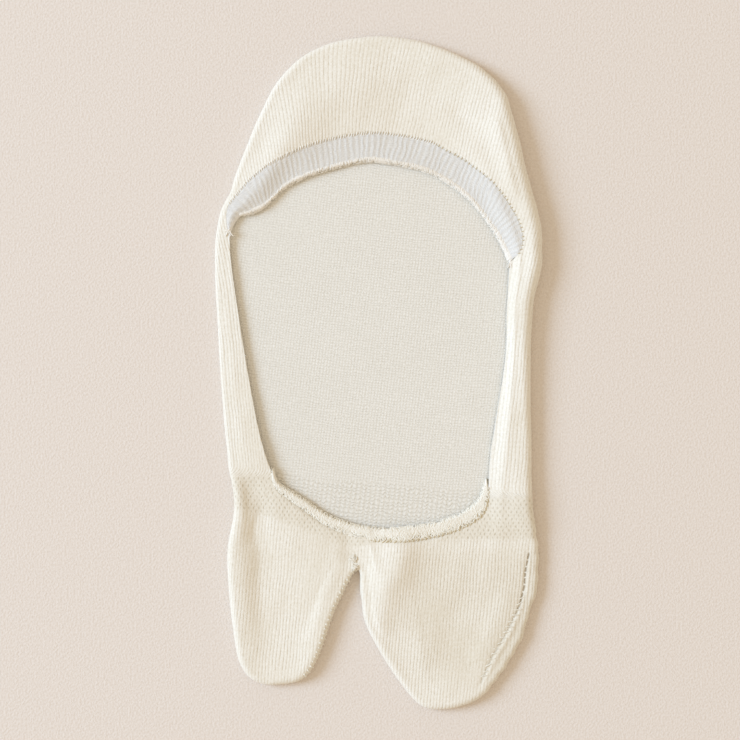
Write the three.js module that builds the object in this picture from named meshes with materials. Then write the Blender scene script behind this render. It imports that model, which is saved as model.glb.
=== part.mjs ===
// A tabi foot cover for a left foot: a low-cut knitted sock with one pocket for the big toe and one for
// the other four, laid flat on its sole. Millimetres, +Z up. The heel points to +Y, the toes to -Y, and the
// big toe lies at -X.
//
// The cloth is one knitted shell. It starts at the mouth, runs outward over the top of the foot, turns over
// at the outline and comes back underneath as the sole, which closes in one patch below the mouth. A ribbed
// elastic is linked to the back of the mouth, and a folded hem to the front of it.
import * as THREE from "three";

// ---------------------------------------------------------------------------------- driving dimensions
const CLOTH = 1.0; // thickness of the plain knit
const ELASTIC_THICK = 1.5; // thickness of the ribbed heel elastic
const HEM_THICK = 1.8; // thickness of the front hem, two layers of knit pressed together
const SEAM_GAP = 0.3; // clearance between two pieces that are linked to each other
const NARROWEST = 0.8; // an elastic or hem narrower than this has ended
const FOLD_SHARE = 0.45; // depth of the turned-over edge, as a share of its height
const SQUARE_RUN = 7; // how far in from the outline a section still runs square to it
const SQUARE_SHARE = 0.45; // and the most of the section's own length that this may take
const CROWN_RUN = 15; // how far in from the fold a section reaches its crown
const CROWN_SHARE = 0.5; // and the most of the section's own length that this may take
const CREASE_FADE = 3; // distance from the fold over which the creases come in
const LOWEST = 2.3; // the top layer never lies lower than this, so it clears the sole
const LOWEST_EASE = 0.2; // how gently it levels out there

// ------------------------------------------------------------------------------------------ resolution
const STEPS_PER_SECTION = 3; // sections made between two rows of the table, counting the first
const TOP_RINGS = 5; // from the mouth to the fold
const FOLD_RINGS = 5; // round the fold
const SOLE_RINGS = 4; // from the fold to below the mouth
const BAND_STRIPS = 3; // across an elastic or a hem

/** Turns rows of bare values into rows with named columns. */
const table = (columns, rows) =>
  rows.map((row) => Object.fromEntries(columns.map((name, i) => [name, row[i]])));

// A row for each section, clockwise from the back of the heel. A section runs from the mouth's edge
// (rimX, rimY) out to the outline (outX, outY). edge, crown and rim are the heights of the top of the cloth
// over the floor: at the fold, at the crown and at the mouth. elastic and hem are the widths of those
// pieces, measured from the mouth's edge.
const SECTIONS = table(
  ["outX", "outY", "rimX", "rimY", "edge", "crown", "rim", "elastic", "hem"],
  [
    // back and right side of the heel
    [-2.6, 102.5, -3.8, 64.6, 3.4, 3.2, 2.6, 8.5, 0],
    [11.2, 101.4, 3.2, 63.9, 3.6, 2.8, 2.5, 8.9, 0],
    [24.7, 96.7, 11.9, 62.2, 4.4, 3.2, 2.5, 9.0, 0],
    [33.2, 91.2, 18.0, 59.8, 5.2, 4.0, 2.5, 8.3, 0],
    [38.5, 85.3, 23.4, 56.4, 5.8, 4.6, 2.5, 8.7, 0],
    [41.1, 77.4, 27.6, 52.9, 6.3, 4.9, 2.6, 9.1, 0],
    [44.0, 66.0, 31.6, 48.3, 6.6, 5.4, 2.6, 9.8, 0],
    // outer side of the foot
    [47.3, 53.5, 35.0, 43.4, 6.6, 5.4, 2.6, 8.7, 0],
    [49.3, 45.5, 37.6, 38.8, 6.5, 5.3, 2.6, 7.6, 0],
    [49.9, 39.2, 39.0, 35.8, 6.4, 5.3, 2.6, 5.2, 0],
    [49.6, 32.3, 39.7, 32.0, 6.4, 5.3, 2.5, 0, 0],
    [47.2, 20.4, 39.0, 17.9, 6.0, 5.4, 2.4, 0, 0],
    [46.4, 3.8, 38.5, 3.5, 5.4, 5.1, 2.4, 0, 0],
    [46.5, -24.0, 34.3, -22.6, 4.8, 4.6, 2.4, 0, 0],
    // pocket of the four outer toes
    [47.2, -41.5, 32.0, -35.1, 5.2, 4.4, 2.5, 0, 1.8],
    [48.6, -52.9, 29.9, -39.7, 3.6, 3.8, 2.6, 0, 3.2],
    [48.3, -65.7, 26.2, -42.6, 3.3, 3.4, 2.6, 0, 3.6],
    [43.7, -81.0, 22.2, -44.4, 3.4, 3.2, 2.6, 0, 3.6],
    [37.2, -92.1, 17.9, -45.8, 3.6, 3.2, 2.6, 0, 3.6],
    [30.5, -99.7, 13.6, -46.7, 3.7, 3.2, 2.6, 0, 3.6],
    [20.7, -102.6, 9.7, -47.2, 3.6, 3.2, 2.6, 0, 3.6],
    [10.6, -100.0, 6.0, -47.6, 3.3, 3.5, 2.6, 0, 3.5],
    [-2.9, -79.5, -0.8, -47.6, 3.4, 3.5, 2.6, 0, 3.4],
    [-5.4, -68.2, -3.5, -47.3, 3.4, 3.4, 2.9, 0, 3.3],
    // cleft and pocket of the big toe
    [-6.7, -60.4, -6.3, -46.9, 3.0, 3.1, 2.9, 0, 3.2],
    [-12.8, -71.2, -9.6, -46.0, 3.8, 3.2, 2.9, 0, 3.0],
    [-21.0, -91.5, -15.5, -43.7, 3.8, 3.2, 2.9, 0, 2.6],
    [-31.4, -95.4, -19.5, -41.2, 3.4, 3.0, 2.9, 0, 2.4],
    [-40.3, -92.4, -23.1, -38.8, 3.5, 2.9, 2.9, 0, 2.2],
    [-44.0, -82.3, -26.5, -36.6, 3.9, 2.7, 2.9, 0, 2.0],
    [-46.2, -58.0, -30.8, -33.6, 4.3, 2.6, 3.0, 0, 1.5],
    [-44.3, -40.9, -32.4, -29.4, 4.0, 3.1, 3.2, 0, 0.9],
    // inner side of the foot
    [-46.0, -27.4, -35.2, -22.5, 2.9, 3.3, 3.3, 0, 0],
    [-47.6, -10.6, -38.1, -9.7, 2.5, 2.9, 3.0, 0, 0],
    [-49.6, 18.0, -42.5, 16.0, 2.4, 2.7, 2.9, 0, 0],
    [-49.9, 39.0, -45.4, 38.6, 2.5, 2.7, 2.8, 0, 0],
    // left side of the heel
    [-48.3, 49.2, -43.0, 46.8, 3.0, 3.2, 2.4, 4.0, 0],
    [-45.2, 55.6, -38.4, 48.8, 3.2, 3.6, 2.4, 7.6, 0],
    [-42.1, 64.8, -34.4, 51.0, 3.4, 4.3, 2.5, 10.4, 0],
    [-37.5, 76.1, -28.3, 56.7, 3.5, 4.7, 2.6, 8.9, 0],
    [-30.3, 89.6, -21.0, 60.2, 3.4, 4.6, 2.6, 8.8, 0],
    [-18.5, 99.3, -12.4, 62.8, 3.3, 3.9, 2.6, 8.8, 0],
  ],
);

// The largest folds of the top layer: soft ridges (height above 0) and troughs (below 0) along a line.
const CREASES = table(
  ["fromX", "fromY", "toX", "toY", "width", "height"],
  [
    [-39.0, -36, -37.0, -50, 3.6, -0.7], // hollow where the big toe's pocket leaves the instep
    [-33.0, -62, -31.0, -84, 7.0, -0.25], // shallow hollow along the big toe
    [-9.5, -50, -8.6, -57, 2.2, -0.5], // hollow above the cleft
    [6.0, -55, 5.0, -61, 6.0, 1.9], // ridge along the cleft side of the four-toe pocket
    [1.5, -66, 0.5, -76, 3.6, 0.8], // its lower end
    [11.0, -70, 8.0, -84, 4.5, -0.4], // hollow beside that ridge
    [12.0, -54, 18.0, -60, 15.0, 0.6], // swell of the instep over the four toes
    [28.0, -66, 20.0, -80, 6.0, -0.3], // hollow under the little toes
    [38.5, -70, 31.0, -86, 3.6, 0.4], // ridge inside the linking seam
    [37.0, 74, 41.0, 56, 3.2, 0.5], // ridge behind the right end of the elastic
    [27.0, 74, 24.0, 79, 3.2, -0.35], // dent beside that ridge
    [2.0, 76, 14.0, 84, 8.0, -0.2], // hollow across the back of the heel
  ],
);

// --------------------------------------------------------------------------------------------- shaping
const mix = (a, b, share) => a + (b - a) * share;
const smooth = (share) => share * share * (3 - 2 * share);
const clamp = THREE.MathUtils.clamp;

/** Value of one column at any place round the sock, by a closed Catmull-Rom curve through the rows. */
function columnAt(name, place) {
  const before = Math.floor(place);
  const f = place - before;
  const count = SECTIONS.length;
  const [a, b, c, d] = [-1, 0, 1, 2].map((k) => SECTIONS[(before + k + count) % count][name]);
  return b + 0.5 * f * (c - a + f * (2 * a - 5 * b + 4 * c - d + f * (3 * (b - c) + d - a)));
}

/** A section anywhere round the sock, with where its fold starts and where its path turns to the mouth. */
function sectionAt(place) {
  const read = (name) => columnAt(name, place);
  const step = 0.02;
  const alongX = columnAt("outX", place + step) - columnAt("outX", place - step);
  const alongY = columnAt("outY", place + step) - columnAt("outY", place - step);
  const outward = new THREE.Vector2(-alongY, alongX).normalize();
  const out = new THREE.Vector2(read("outX"), read("outY"));
  const rim = new THREE.Vector2(read("rimX"), read("rimY"));
  const edge = read("edge");
  const foldDepth = FOLD_SHARE * edge;
  const squareRun = Math.min(SQUARE_RUN, SQUARE_SHARE * out.distanceTo(rim));
  const fold = out.clone().addScaledVector(outward, -foldDepth);
  const turn = out.clone().addScaledVector(outward, -Math.max(squareRun, foldDepth));
  const heights = { edge, crown: read("crown"), rimZ: read("rim") };
  const widths = { elastic: Math.max(0, read("elastic")), hem: Math.max(0, read("hem")) };
  return { outward, rim, fold, turn, foldDepth, ...heights, ...widths };
}

/** Plan position on a section: 0 is where the fold starts, 1 the mouth's edge. */
function planAt({ fold, turn, rim }, share) {
  const keep = 1 - share;
  const x = keep * keep * fold.x + 2 * share * keep * turn.x + share * share * rim.x;
  const y = keep * keep * fold.y + 2 * share * keep * turn.y + share * share * rim.y;
  return new THREE.Vector2(x, y);
}

/** The share of a section that lies a given width in from the mouth's edge. */
function shareAtWidth({ fold, turn, rim }, width) {
  const whole = fold.distanceTo(rim);
  const straight = turn.distanceTo(rim);
  return 1 - width / (straight + Math.sqrt(Math.max(straight ** 2 + (whole - 2 * straight) * width, 0)));
}

/** How far the creases lift or sink the top of the cloth at a plan position. */
function creaseHeight(x, y) {
  let total = 0;
  for (const { fromX, fromY, toX, toY, width, height } of CREASES) {
    const runX = toX - fromX;
    const runY = toY - fromY;
    const along = clamp(((x - fromX) * runX + (y - fromY) * runY) / (runX ** 2 + runY ** 2), 0, 1);
    const away = Math.hypot(x - fromX - along * runX, y - fromY - along * runY);
    total += height * Math.exp(-((away / width) ** 2));
  }
  return total;
}

/** Height of the cloth's upper surface over the floor, on the top layer. */
function topHeight(section, share) {
  const { edge, crown, rimZ, fold, rim } = section;
  const place = planAt(section, share);
  const gone = place.distanceTo(fold);
  const whole = rim.distanceTo(fold);
  const riseRun = Math.min(CROWN_RUN, CROWN_SHARE * whole);
  const outer = mix(edge, crown, smooth(clamp(gone / riseRun, 0, 1)));
  const base = mix(outer, rimZ, smooth(clamp((gone - riseRun) / (whole - riseRun), 0, 1)));
  const height = base + creaseHeight(place.x, place.y) * smooth(clamp(gone / CREASE_FADE, 0, 1));
  const spare = height - LOWEST;
  return LOWEST + (spare + Math.hypot(spare, LOWEST_EASE)) / 2;
}

/** A point of the cloth on the top layer, sunk by depth below its upper surface. */
function topPoint(section, share, depth) {
  const { x, y } = planAt(section, share);
  return [x, y, topHeight(section, share) - depth];
}

/** A point of the turned-over edge, sunk by depth: turn is 0 at the top layer and 1 at the sole. */
function foldPoint({ fold, outward, foldDepth, edge }, turn, depth) {
  const angle = Math.PI * (0.5 - turn);
  const reach = (foldDepth - depth) * Math.cos(angle);
  const z = edge / 2 + (edge / 2 - depth) * Math.sin(angle);
  return [fold.x + reach * outward.x, fold.y + reach * outward.y, z];
}

/** A point of the sole, depth above the floor. */
function solePoint(section, share, depth) {
  const { x, y } = planAt(section, share);
  return [x, y, depth];
}

const RING = STEPS_PER_SECTION * SECTIONS.length; // sections all round
const ROUND = Array.from({ length: RING }, (_, i) => sectionAt(i / STEPS_PER_SECTION));
const steps = (count) => Array.from({ length: count + 1 }, (_, i) => i / count);

/** Width that the elastic or hem takes from the knitted shell at a section, with the seam's clearance. */
function seamWidth({ elastic, hem }) {
  const width = Math.max(elastic, hem);
  return width + SEAM_GAP * clamp(width / NARROWEST, 0, 1);
}

// --------------------------------------------------------------------------------------- mesh building
/** Twice the signed area of a plan triangle, above 0 where it runs anticlockwise. */
const cross = (a, b, c) => (b.x - a.x) * (c.y - a.y) - (b.y - a.y) * (c.x - a.x);

/** Collects points and triangles, and turns them into a three.js geometry. */
class Solid {
  points = [];
  triangles = [];

  add(point) {
    this.points.push(...point);
    return this.points.length / 3 - 1;
  }

  quad(a, b, c, d) {
    this.triangles.push(a, b, c, a, c, d);
  }

  /** Faces between two closed loops of points of the same length. */
  strip(near, far) {
    near.forEach((point, i) => {
      const next = (i + 1) % near.length;
      this.quad(point, near[next], far[next], far[i]);
    });
  }

  /** Fills a flat closed loop of points. */
  patch(loop, facesUp) {
    const plan = loop.map((i) => new THREE.Vector2(this.points[3 * i], this.points[3 * i + 1]));
    for (const [a, b, c] of THREE.ShapeUtils.triangulateShape(plan, [])) {
      const [p, q, r] = [loop[a], loop[b], loop[c]];
      const anticlockwise = cross(plan[a], plan[b], plan[c]) > 0;
      this.triangles.push(...(anticlockwise === facesUp ? [p, q, r] : [p, r, q]));
    }
  }

  geometry() {
    const made = new THREE.BufferGeometry();
    made.setAttribute("position", new THREE.Float32BufferAttribute(this.points, 3));
    made.setIndex(this.triangles);
    made.computeVertexNormals();
    return made;
  }
}

/** The rings of one face of the cloth, at a depth from its outside: top layer, fold, then sole. */
function clothRings(solid, depth) {
  const ringOf = (pointOf) => ROUND.map((section) => solid.add(pointOf(section)));
  const top = steps(TOP_RINGS).map((along) =>
    ringOf((s) => topPoint(s, (1 - along) * shareAtWidth(s, seamWidth(s)), depth)),
  );
  const turned = steps(FOLD_RINGS).slice(1, -1);
  const fold = turned.map((turn) => ringOf((s) => foldPoint(s, turn, depth)));
  const sole = steps(SOLE_RINGS).map((share) => ringOf((s) => solePoint(s, share, depth)));
  return [...top, ...fold, ...sole];
}

/** The knitted shell: heel pocket, sides, instep, both toe pockets and the sole, in one piece. */
function knitShell() {
  const solid = new Solid();
  const outside = clothRings(solid, 0);
  const inside = clothRings(solid, CLOTH);
  for (let i = 1; i < outside.length; i += 1) {
    solid.strip(outside[i - 1], outside[i]);
    solid.strip(inside[i], inside[i - 1]);
  }
  solid.strip(inside[0], outside[0]);
  solid.patch(outside.at(-1), false);
  solid.patch(inside.at(-1), true);
  return solid.geometry();
}

/** A band along the mouth's edge, where its width column says so: from the edge out to the seam. */
function mouthBand(width, thickness) {
  const solid = new Solid();
  const wide = ROUND.map((section) => section[width] >= NARROWEST);
  const first = wide.findIndex((is, i) => is && !wide[(i + RING - 1) % RING]);
  const length = wide.filter(Boolean).length;
  const proud = (thickness - CLOTH) / 2; // the band stands out of the knit by the same on both sides
  const loops = Array.from({ length }, (_, i) => {
    const section = ROUND[(first + i) % RING];
    const shares = steps(BAND_STRIPS).map((across) => shareAtWidth(section, across * section[width]));
    const upper = shares.map((share) => solid.add(topPoint(section, share, -proud)));
    const lower = shares.map((share) => solid.add(topPoint(section, share, thickness - proud)));
    return [...upper, ...lower.reverse()];
  });
  for (let i = 1; i < length; i += 1) solid.strip(loops[i], loops[i - 1]);
  for (let i = 0; i < BAND_STRIPS; i += 1) {
    const corners = (loop) => [loop[i], loop[i + 1], loop.at(-2 - i), loop.at(-1 - i)];
    solid.quad(...corners(loops[0]));
    solid.quad(...corners(loops.at(-1)).reverse());
  }
  return solid.geometry();
}

// -------------------------------------------------------------------------------------------- assembly
const knit = new THREE.MeshStandardMaterial({ color: 0xede7d8, roughness: 0.9, metalness: 0 });
const meshKnit = new THREE.MeshStandardMaterial({ color: 0xe9e3d6, roughness: 0.92, metalness: 0 });
const ribbed = new THREE.MeshStandardMaterial({ color: 0xe2e1de, roughness: 0.85, metalness: 0 });

const sock = new THREE.Group();
for (const [name, geometry, material] of [
  ["knit_body", knitShell(), knit],
  ["heel_elastic", mouthBand("elastic", ELASTIC_THICK), ribbed],
  ["front_hem", mouthBand("hem", HEM_THICK), meshKnit],
]) {
  const mesh = new THREE.Mesh(geometry, material);
  mesh.name = name;
  sock.add(mesh);
}

// The origin is on the floor, below the middle of the sock's bounding box.
const middle = new THREE.Box3().setFromObject(sock).getCenter(new THREE.Vector3());
sock.position.set(-middle.x, -middle.y, 0);

export default sock;
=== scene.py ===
"""A tabi foot cover laid flat: the finished look of its knit, elastic, hem, seams and thread ends.

The sock's form is worked out from the same named sizes as its solids, in millimetres, and becomes metres
where a mesh is made. Each sub-assembly is a class that builds its own meshes, and each finish a class that
makes its material. The heel points to +Y, the toes to -Y and the big toe to -X.
"""

import logging
import math
from dataclasses import dataclass, field
from enum import Enum
from typing import NamedTuple, Sequence

import bpy
import numpy as np
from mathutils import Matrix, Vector

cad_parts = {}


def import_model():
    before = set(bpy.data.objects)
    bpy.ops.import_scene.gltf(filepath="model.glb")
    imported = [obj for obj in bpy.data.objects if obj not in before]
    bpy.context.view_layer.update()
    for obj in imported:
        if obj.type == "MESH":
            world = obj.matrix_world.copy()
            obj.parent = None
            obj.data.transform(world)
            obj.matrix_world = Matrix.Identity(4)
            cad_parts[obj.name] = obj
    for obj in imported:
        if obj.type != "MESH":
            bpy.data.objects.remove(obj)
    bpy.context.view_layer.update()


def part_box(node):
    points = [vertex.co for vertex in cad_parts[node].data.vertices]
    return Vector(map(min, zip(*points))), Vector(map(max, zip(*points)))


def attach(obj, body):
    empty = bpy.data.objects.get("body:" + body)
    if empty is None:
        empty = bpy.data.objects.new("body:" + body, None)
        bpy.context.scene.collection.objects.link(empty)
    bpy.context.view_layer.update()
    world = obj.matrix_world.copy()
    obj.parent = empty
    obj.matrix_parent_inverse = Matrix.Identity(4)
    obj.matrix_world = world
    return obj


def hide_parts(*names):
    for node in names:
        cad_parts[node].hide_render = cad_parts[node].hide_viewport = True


logging.basicConfig(level=logging.INFO, format="%(name)s: %(message)s")
LOG = logging.getLogger("foot_cover")

MM = 0.001
Array = np.ndarray
Rgba = tuple[float, float, float, float]


def linear(red: int, green: int, blue: int) -> Rgba:
    """Turn a display colour, 0 to 255 a channel, into the linear one that a shader takes.

    Args:
        red: red channel.
        green: green channel.
        blue: blue channel.

    Returns:
        The linear colour with full alpha.
    """
    shares = (channel / 255 for channel in (red, green, blue))
    return (*(s / 12.92 if s <= 0.04045 else ((s + 0.055) / 1.055) ** 2.4 for s in shares), 1.0)


def smooth(share: Array) -> Array:
    """Ease a share from 0 to 1 with level ends; values outside are held."""
    held = np.clip(share, 0.0, 1.0)
    return held * held * (3 - 2 * held)


def mix(first: Array, second: Array, share: Array) -> Array:
    """Blend two arrays by a share."""
    return first + (second - first) * share


def unit(vectors: Array) -> Array:
    """Scale the vectors in the last axis to length 1."""
    return vectors / np.linalg.norm(vectors, axis=-1, keepdims=True)


def run_along(points: Array) -> Array:
    """How far along a line each of its points lies."""
    return np.concatenate([[0.0], np.cumsum(np.linalg.norm(np.diff(points, axis=0), axis=1))])

# ------------------------------------------------------------------------------------------ the sock's form
class Section(NamedTuple):
    """One section of the sock, from the outline in to the mouth's edge, in millimetres.

    out and rim are its two ends in plan. edge, crown and rim are heights: of the turned edge, of the top layer
    further in and at the mouth. elastic and hem are the widths of the band sewn on there, 0 for none.
    """

    out_x: float
    out_y: float
    rim_x: float
    rim_y: float
    edge: float
    crown: float
    rim: float
    elastic: float
    hem: float


SECTIONS: tuple[Section, ...] = (
    # back and right side of the heel
    Section(-2.6, 102.5, -3.8, 64.6, 3.4, 3.2, 2.6, 8.5, 0),
    Section(11.2, 101.4, 3.2, 63.9, 3.6, 2.8, 2.5, 8.9, 0),
    Section(24.7, 96.7, 11.9, 62.2, 4.4, 3.2, 2.5, 9.0, 0),
    Section(33.2, 91.2, 18.0, 59.8, 5.2, 4.0, 2.5, 8.3, 0),
    Section(38.5, 85.3, 23.4, 56.4, 5.8, 4.6, 2.5, 8.7, 0),
    Section(41.1, 77.4, 27.6, 52.9, 6.3, 4.9, 2.6, 9.1, 0),
    Section(44.0, 66.0, 31.6, 48.3, 6.6, 5.4, 2.6, 9.8, 0),
    # outer side of the foot
    Section(47.3, 53.5, 35.0, 43.4, 6.6, 5.4, 2.6, 8.7, 0),
    Section(49.3, 45.5, 37.6, 38.8, 6.5, 5.3, 2.6, 7.6, 0),
    Section(49.9, 39.2, 39.0, 35.8, 6.4, 5.3, 2.6, 5.2, 0),
    Section(49.6, 32.3, 39.7, 32.0, 6.4, 5.3, 2.5, 0, 0),
    Section(47.2, 20.4, 39.0, 17.9, 6.0, 5.4, 2.4, 0, 0),
    Section(46.4, 3.8, 38.5, 3.5, 5.4, 5.1, 2.4, 0, 0),
    Section(46.5, -24.0, 34.3, -22.6, 4.8, 4.6, 2.4, 0, 0),
    # pocket of the four outer toes
    Section(47.2, -41.5, 32.0, -35.1, 5.2, 4.4, 2.5, 0, 1.8),
    Section(48.6, -52.9, 29.9, -39.7, 3.6, 3.8, 2.6, 0, 3.2),
    Section(48.3, -65.7, 26.2, -42.6, 3.3, 3.4, 2.6, 0, 3.6),
    Section(43.7, -81.0, 22.2, -44.4, 3.4, 3.2, 2.6, 0, 3.6),
    Section(37.2, -92.1, 17.9, -45.8, 3.6, 3.2, 2.6, 0, 3.6),
    Section(30.5, -99.7, 13.6, -46.7, 3.7, 3.2, 2.6, 0, 3.6),
    Section(20.7, -102.6, 9.7, -47.2, 3.6, 3.2, 2.6, 0, 3.6),
    Section(10.6, -100.0, 6.0, -47.6, 3.3, 3.5, 2.6, 0, 3.5),
    Section(-2.9, -79.5, -0.8, -47.6, 3.4, 3.5, 2.6, 0, 3.4),
    Section(-5.4, -68.2, -3.5, -47.3, 3.4, 3.4, 2.9, 0, 3.3),
    # cleft and pocket of the big toe
    Section(-6.7, -60.4, -6.3, -46.9, 3.0, 3.1, 2.9, 0, 3.2),
    Section(-12.8, -71.2, -9.6, -46.0, 3.8, 3.2, 2.9, 0, 3.0),
    Section(-21.0, -91.5, -15.5, -43.7, 3.8, 3.2, 2.9, 0, 2.6),
    Section(-31.4, -95.4, -19.5, -41.2, 3.4, 3.0, 2.9, 0, 2.4),
    Section(-40.3, -92.4, -23.1, -38.8, 3.5, 2.9, 2.9, 0, 2.2),
    Section(-44.0, -82.3, -26.5, -36.6, 3.9, 2.7, 2.9, 0, 2.0),
    Section(-46.2, -58.0, -30.8, -33.6, 4.3, 2.6, 3.0, 0, 1.5),
    Section(-44.3, -40.9, -32.4, -29.4, 4.0, 3.1, 3.2, 0, 0.9),
    # inner side of the foot
    Section(-46.0, -27.4, -35.2, -22.5, 2.9, 3.3, 3.3, 0, 0),
    Section(-47.6, -10.6, -38.1, -9.7, 2.5, 2.9, 3.0, 0, 0),
    Section(-49.6, 18.0, -42.5, 16.0, 2.4, 2.7, 2.9, 0, 0),
    Section(-49.9, 39.0, -45.4, 38.6, 2.5, 2.7, 2.8, 0, 0),
    # left side of the heel
    Section(-48.3, 49.2, -43.0, 46.8, 3.0, 3.2, 2.4, 4.0, 0),
    Section(-45.2, 55.6, -38.4, 48.8, 3.2, 3.6, 2.4, 7.6, 0),
    Section(-42.1, 64.8, -34.4, 51.0, 3.4, 4.3, 2.5, 10.4, 0),
    Section(-37.5, 76.1, -28.3, 56.7, 3.5, 4.7, 2.6, 8.9, 0),
    Section(-30.3, 89.6, -21.0, 60.2, 3.4, 4.6, 2.6, 8.8, 0),
    Section(-18.5, 99.3, -12.4, 62.8, 3.3, 3.9, 2.6, 8.8, 0),
)


class Crease(NamedTuple):
    """A soft ridge (height above 0) or trough (below 0) of the top layer along a line, in millimetres."""

    from_x: float
    from_y: float
    to_x: float
    to_y: float
    width: float
    height: float


CREASES: tuple[Crease, ...] = (
    Crease(-39.0, -36, -37.0, -50, 3.6, -0.7),  # hollow where the big toe's pocket leaves the instep
    Crease(-33.0, -62, -31.0, -84, 7.0, -0.25),  # shallow hollow along the big toe
    Crease(-9.5, -50, -8.6, -57, 2.2, -0.5),  # hollow above the cleft
    Crease(6.0, -55, 5.0, -61, 6.0, 1.9),  # ridge along the cleft side of the four-toe pocket
    Crease(1.5, -66, 0.5, -76, 3.6, 0.8),  # its lower end
    Crease(11.0, -70, 8.0, -84, 4.5, -0.4),  # hollow beside that ridge
    Crease(12.0, -54, 18.0, -60, 15.0, 0.6),  # swell of the instep over the four toes
    Crease(28.0, -66, 20.0, -80, 6.0, -0.3),  # hollow under the little toes
    Crease(38.5, -70, 31.0, -86, 3.6, 0.4),  # ridge inside the linking seam
    Crease(37.0, 74, 41.0, 56, 3.2, 0.5),  # ridge behind the right end of the elastic
    Crease(27.0, 74, 24.0, 79, 3.2, -0.35),  # dent beside that ridge
    Crease(2.0, 76, 14.0, 84, 8.0, -0.2),  # hollow across the back of the heel
)

# the linking seam that closes the four-toe pocket, from the instep to the tip, in plan millimetres
LINKING_SEAM: tuple[tuple[float, float], ...] = (
    (46.0, -54.0), (44.8, -60.5), (44.3, -66.0), (42.6, -72.0), (38.6, -80.0), (34.4, -87.0), (30.2, -96.8),
)


class Wave(NamedTuple):
    """One slight wave of a relaxed knit, in millimetres and radians."""

    length: float
    heading: float
    start: float
    height: float


WAVES: tuple[Wave, ...] = (
    Wave(23.0, 0.4, 0.3, 0.09),
    Wave(14.0, 1.9, 1.1, 0.06),
    Wave(8.5, 2.8, 2.0, 0.035),
)


class Ripple(NamedTuple):
    """One ripple of the outline: how many go round the sock, where it starts and its share of the waver."""

    rounds: int
    start: float
    share: float


RIPPLES: tuple[Ripple, ...] = (Ripple(17, 0.6, 1.0), Ripple(29, 2.1, 0.8), Ripple(53, 0.0, 0.5))


@dataclass
class Rays:
    """Sections at many places round the sock: an array of points or of sizes for each, in millimetres."""

    place: Array
    outward: Array
    rim: Array
    fold: Array
    turn: Array
    fold_depth: Array
    edge: Array
    crown: Array
    rim_z: Array
    elastic: Array
    hem: Array


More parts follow.
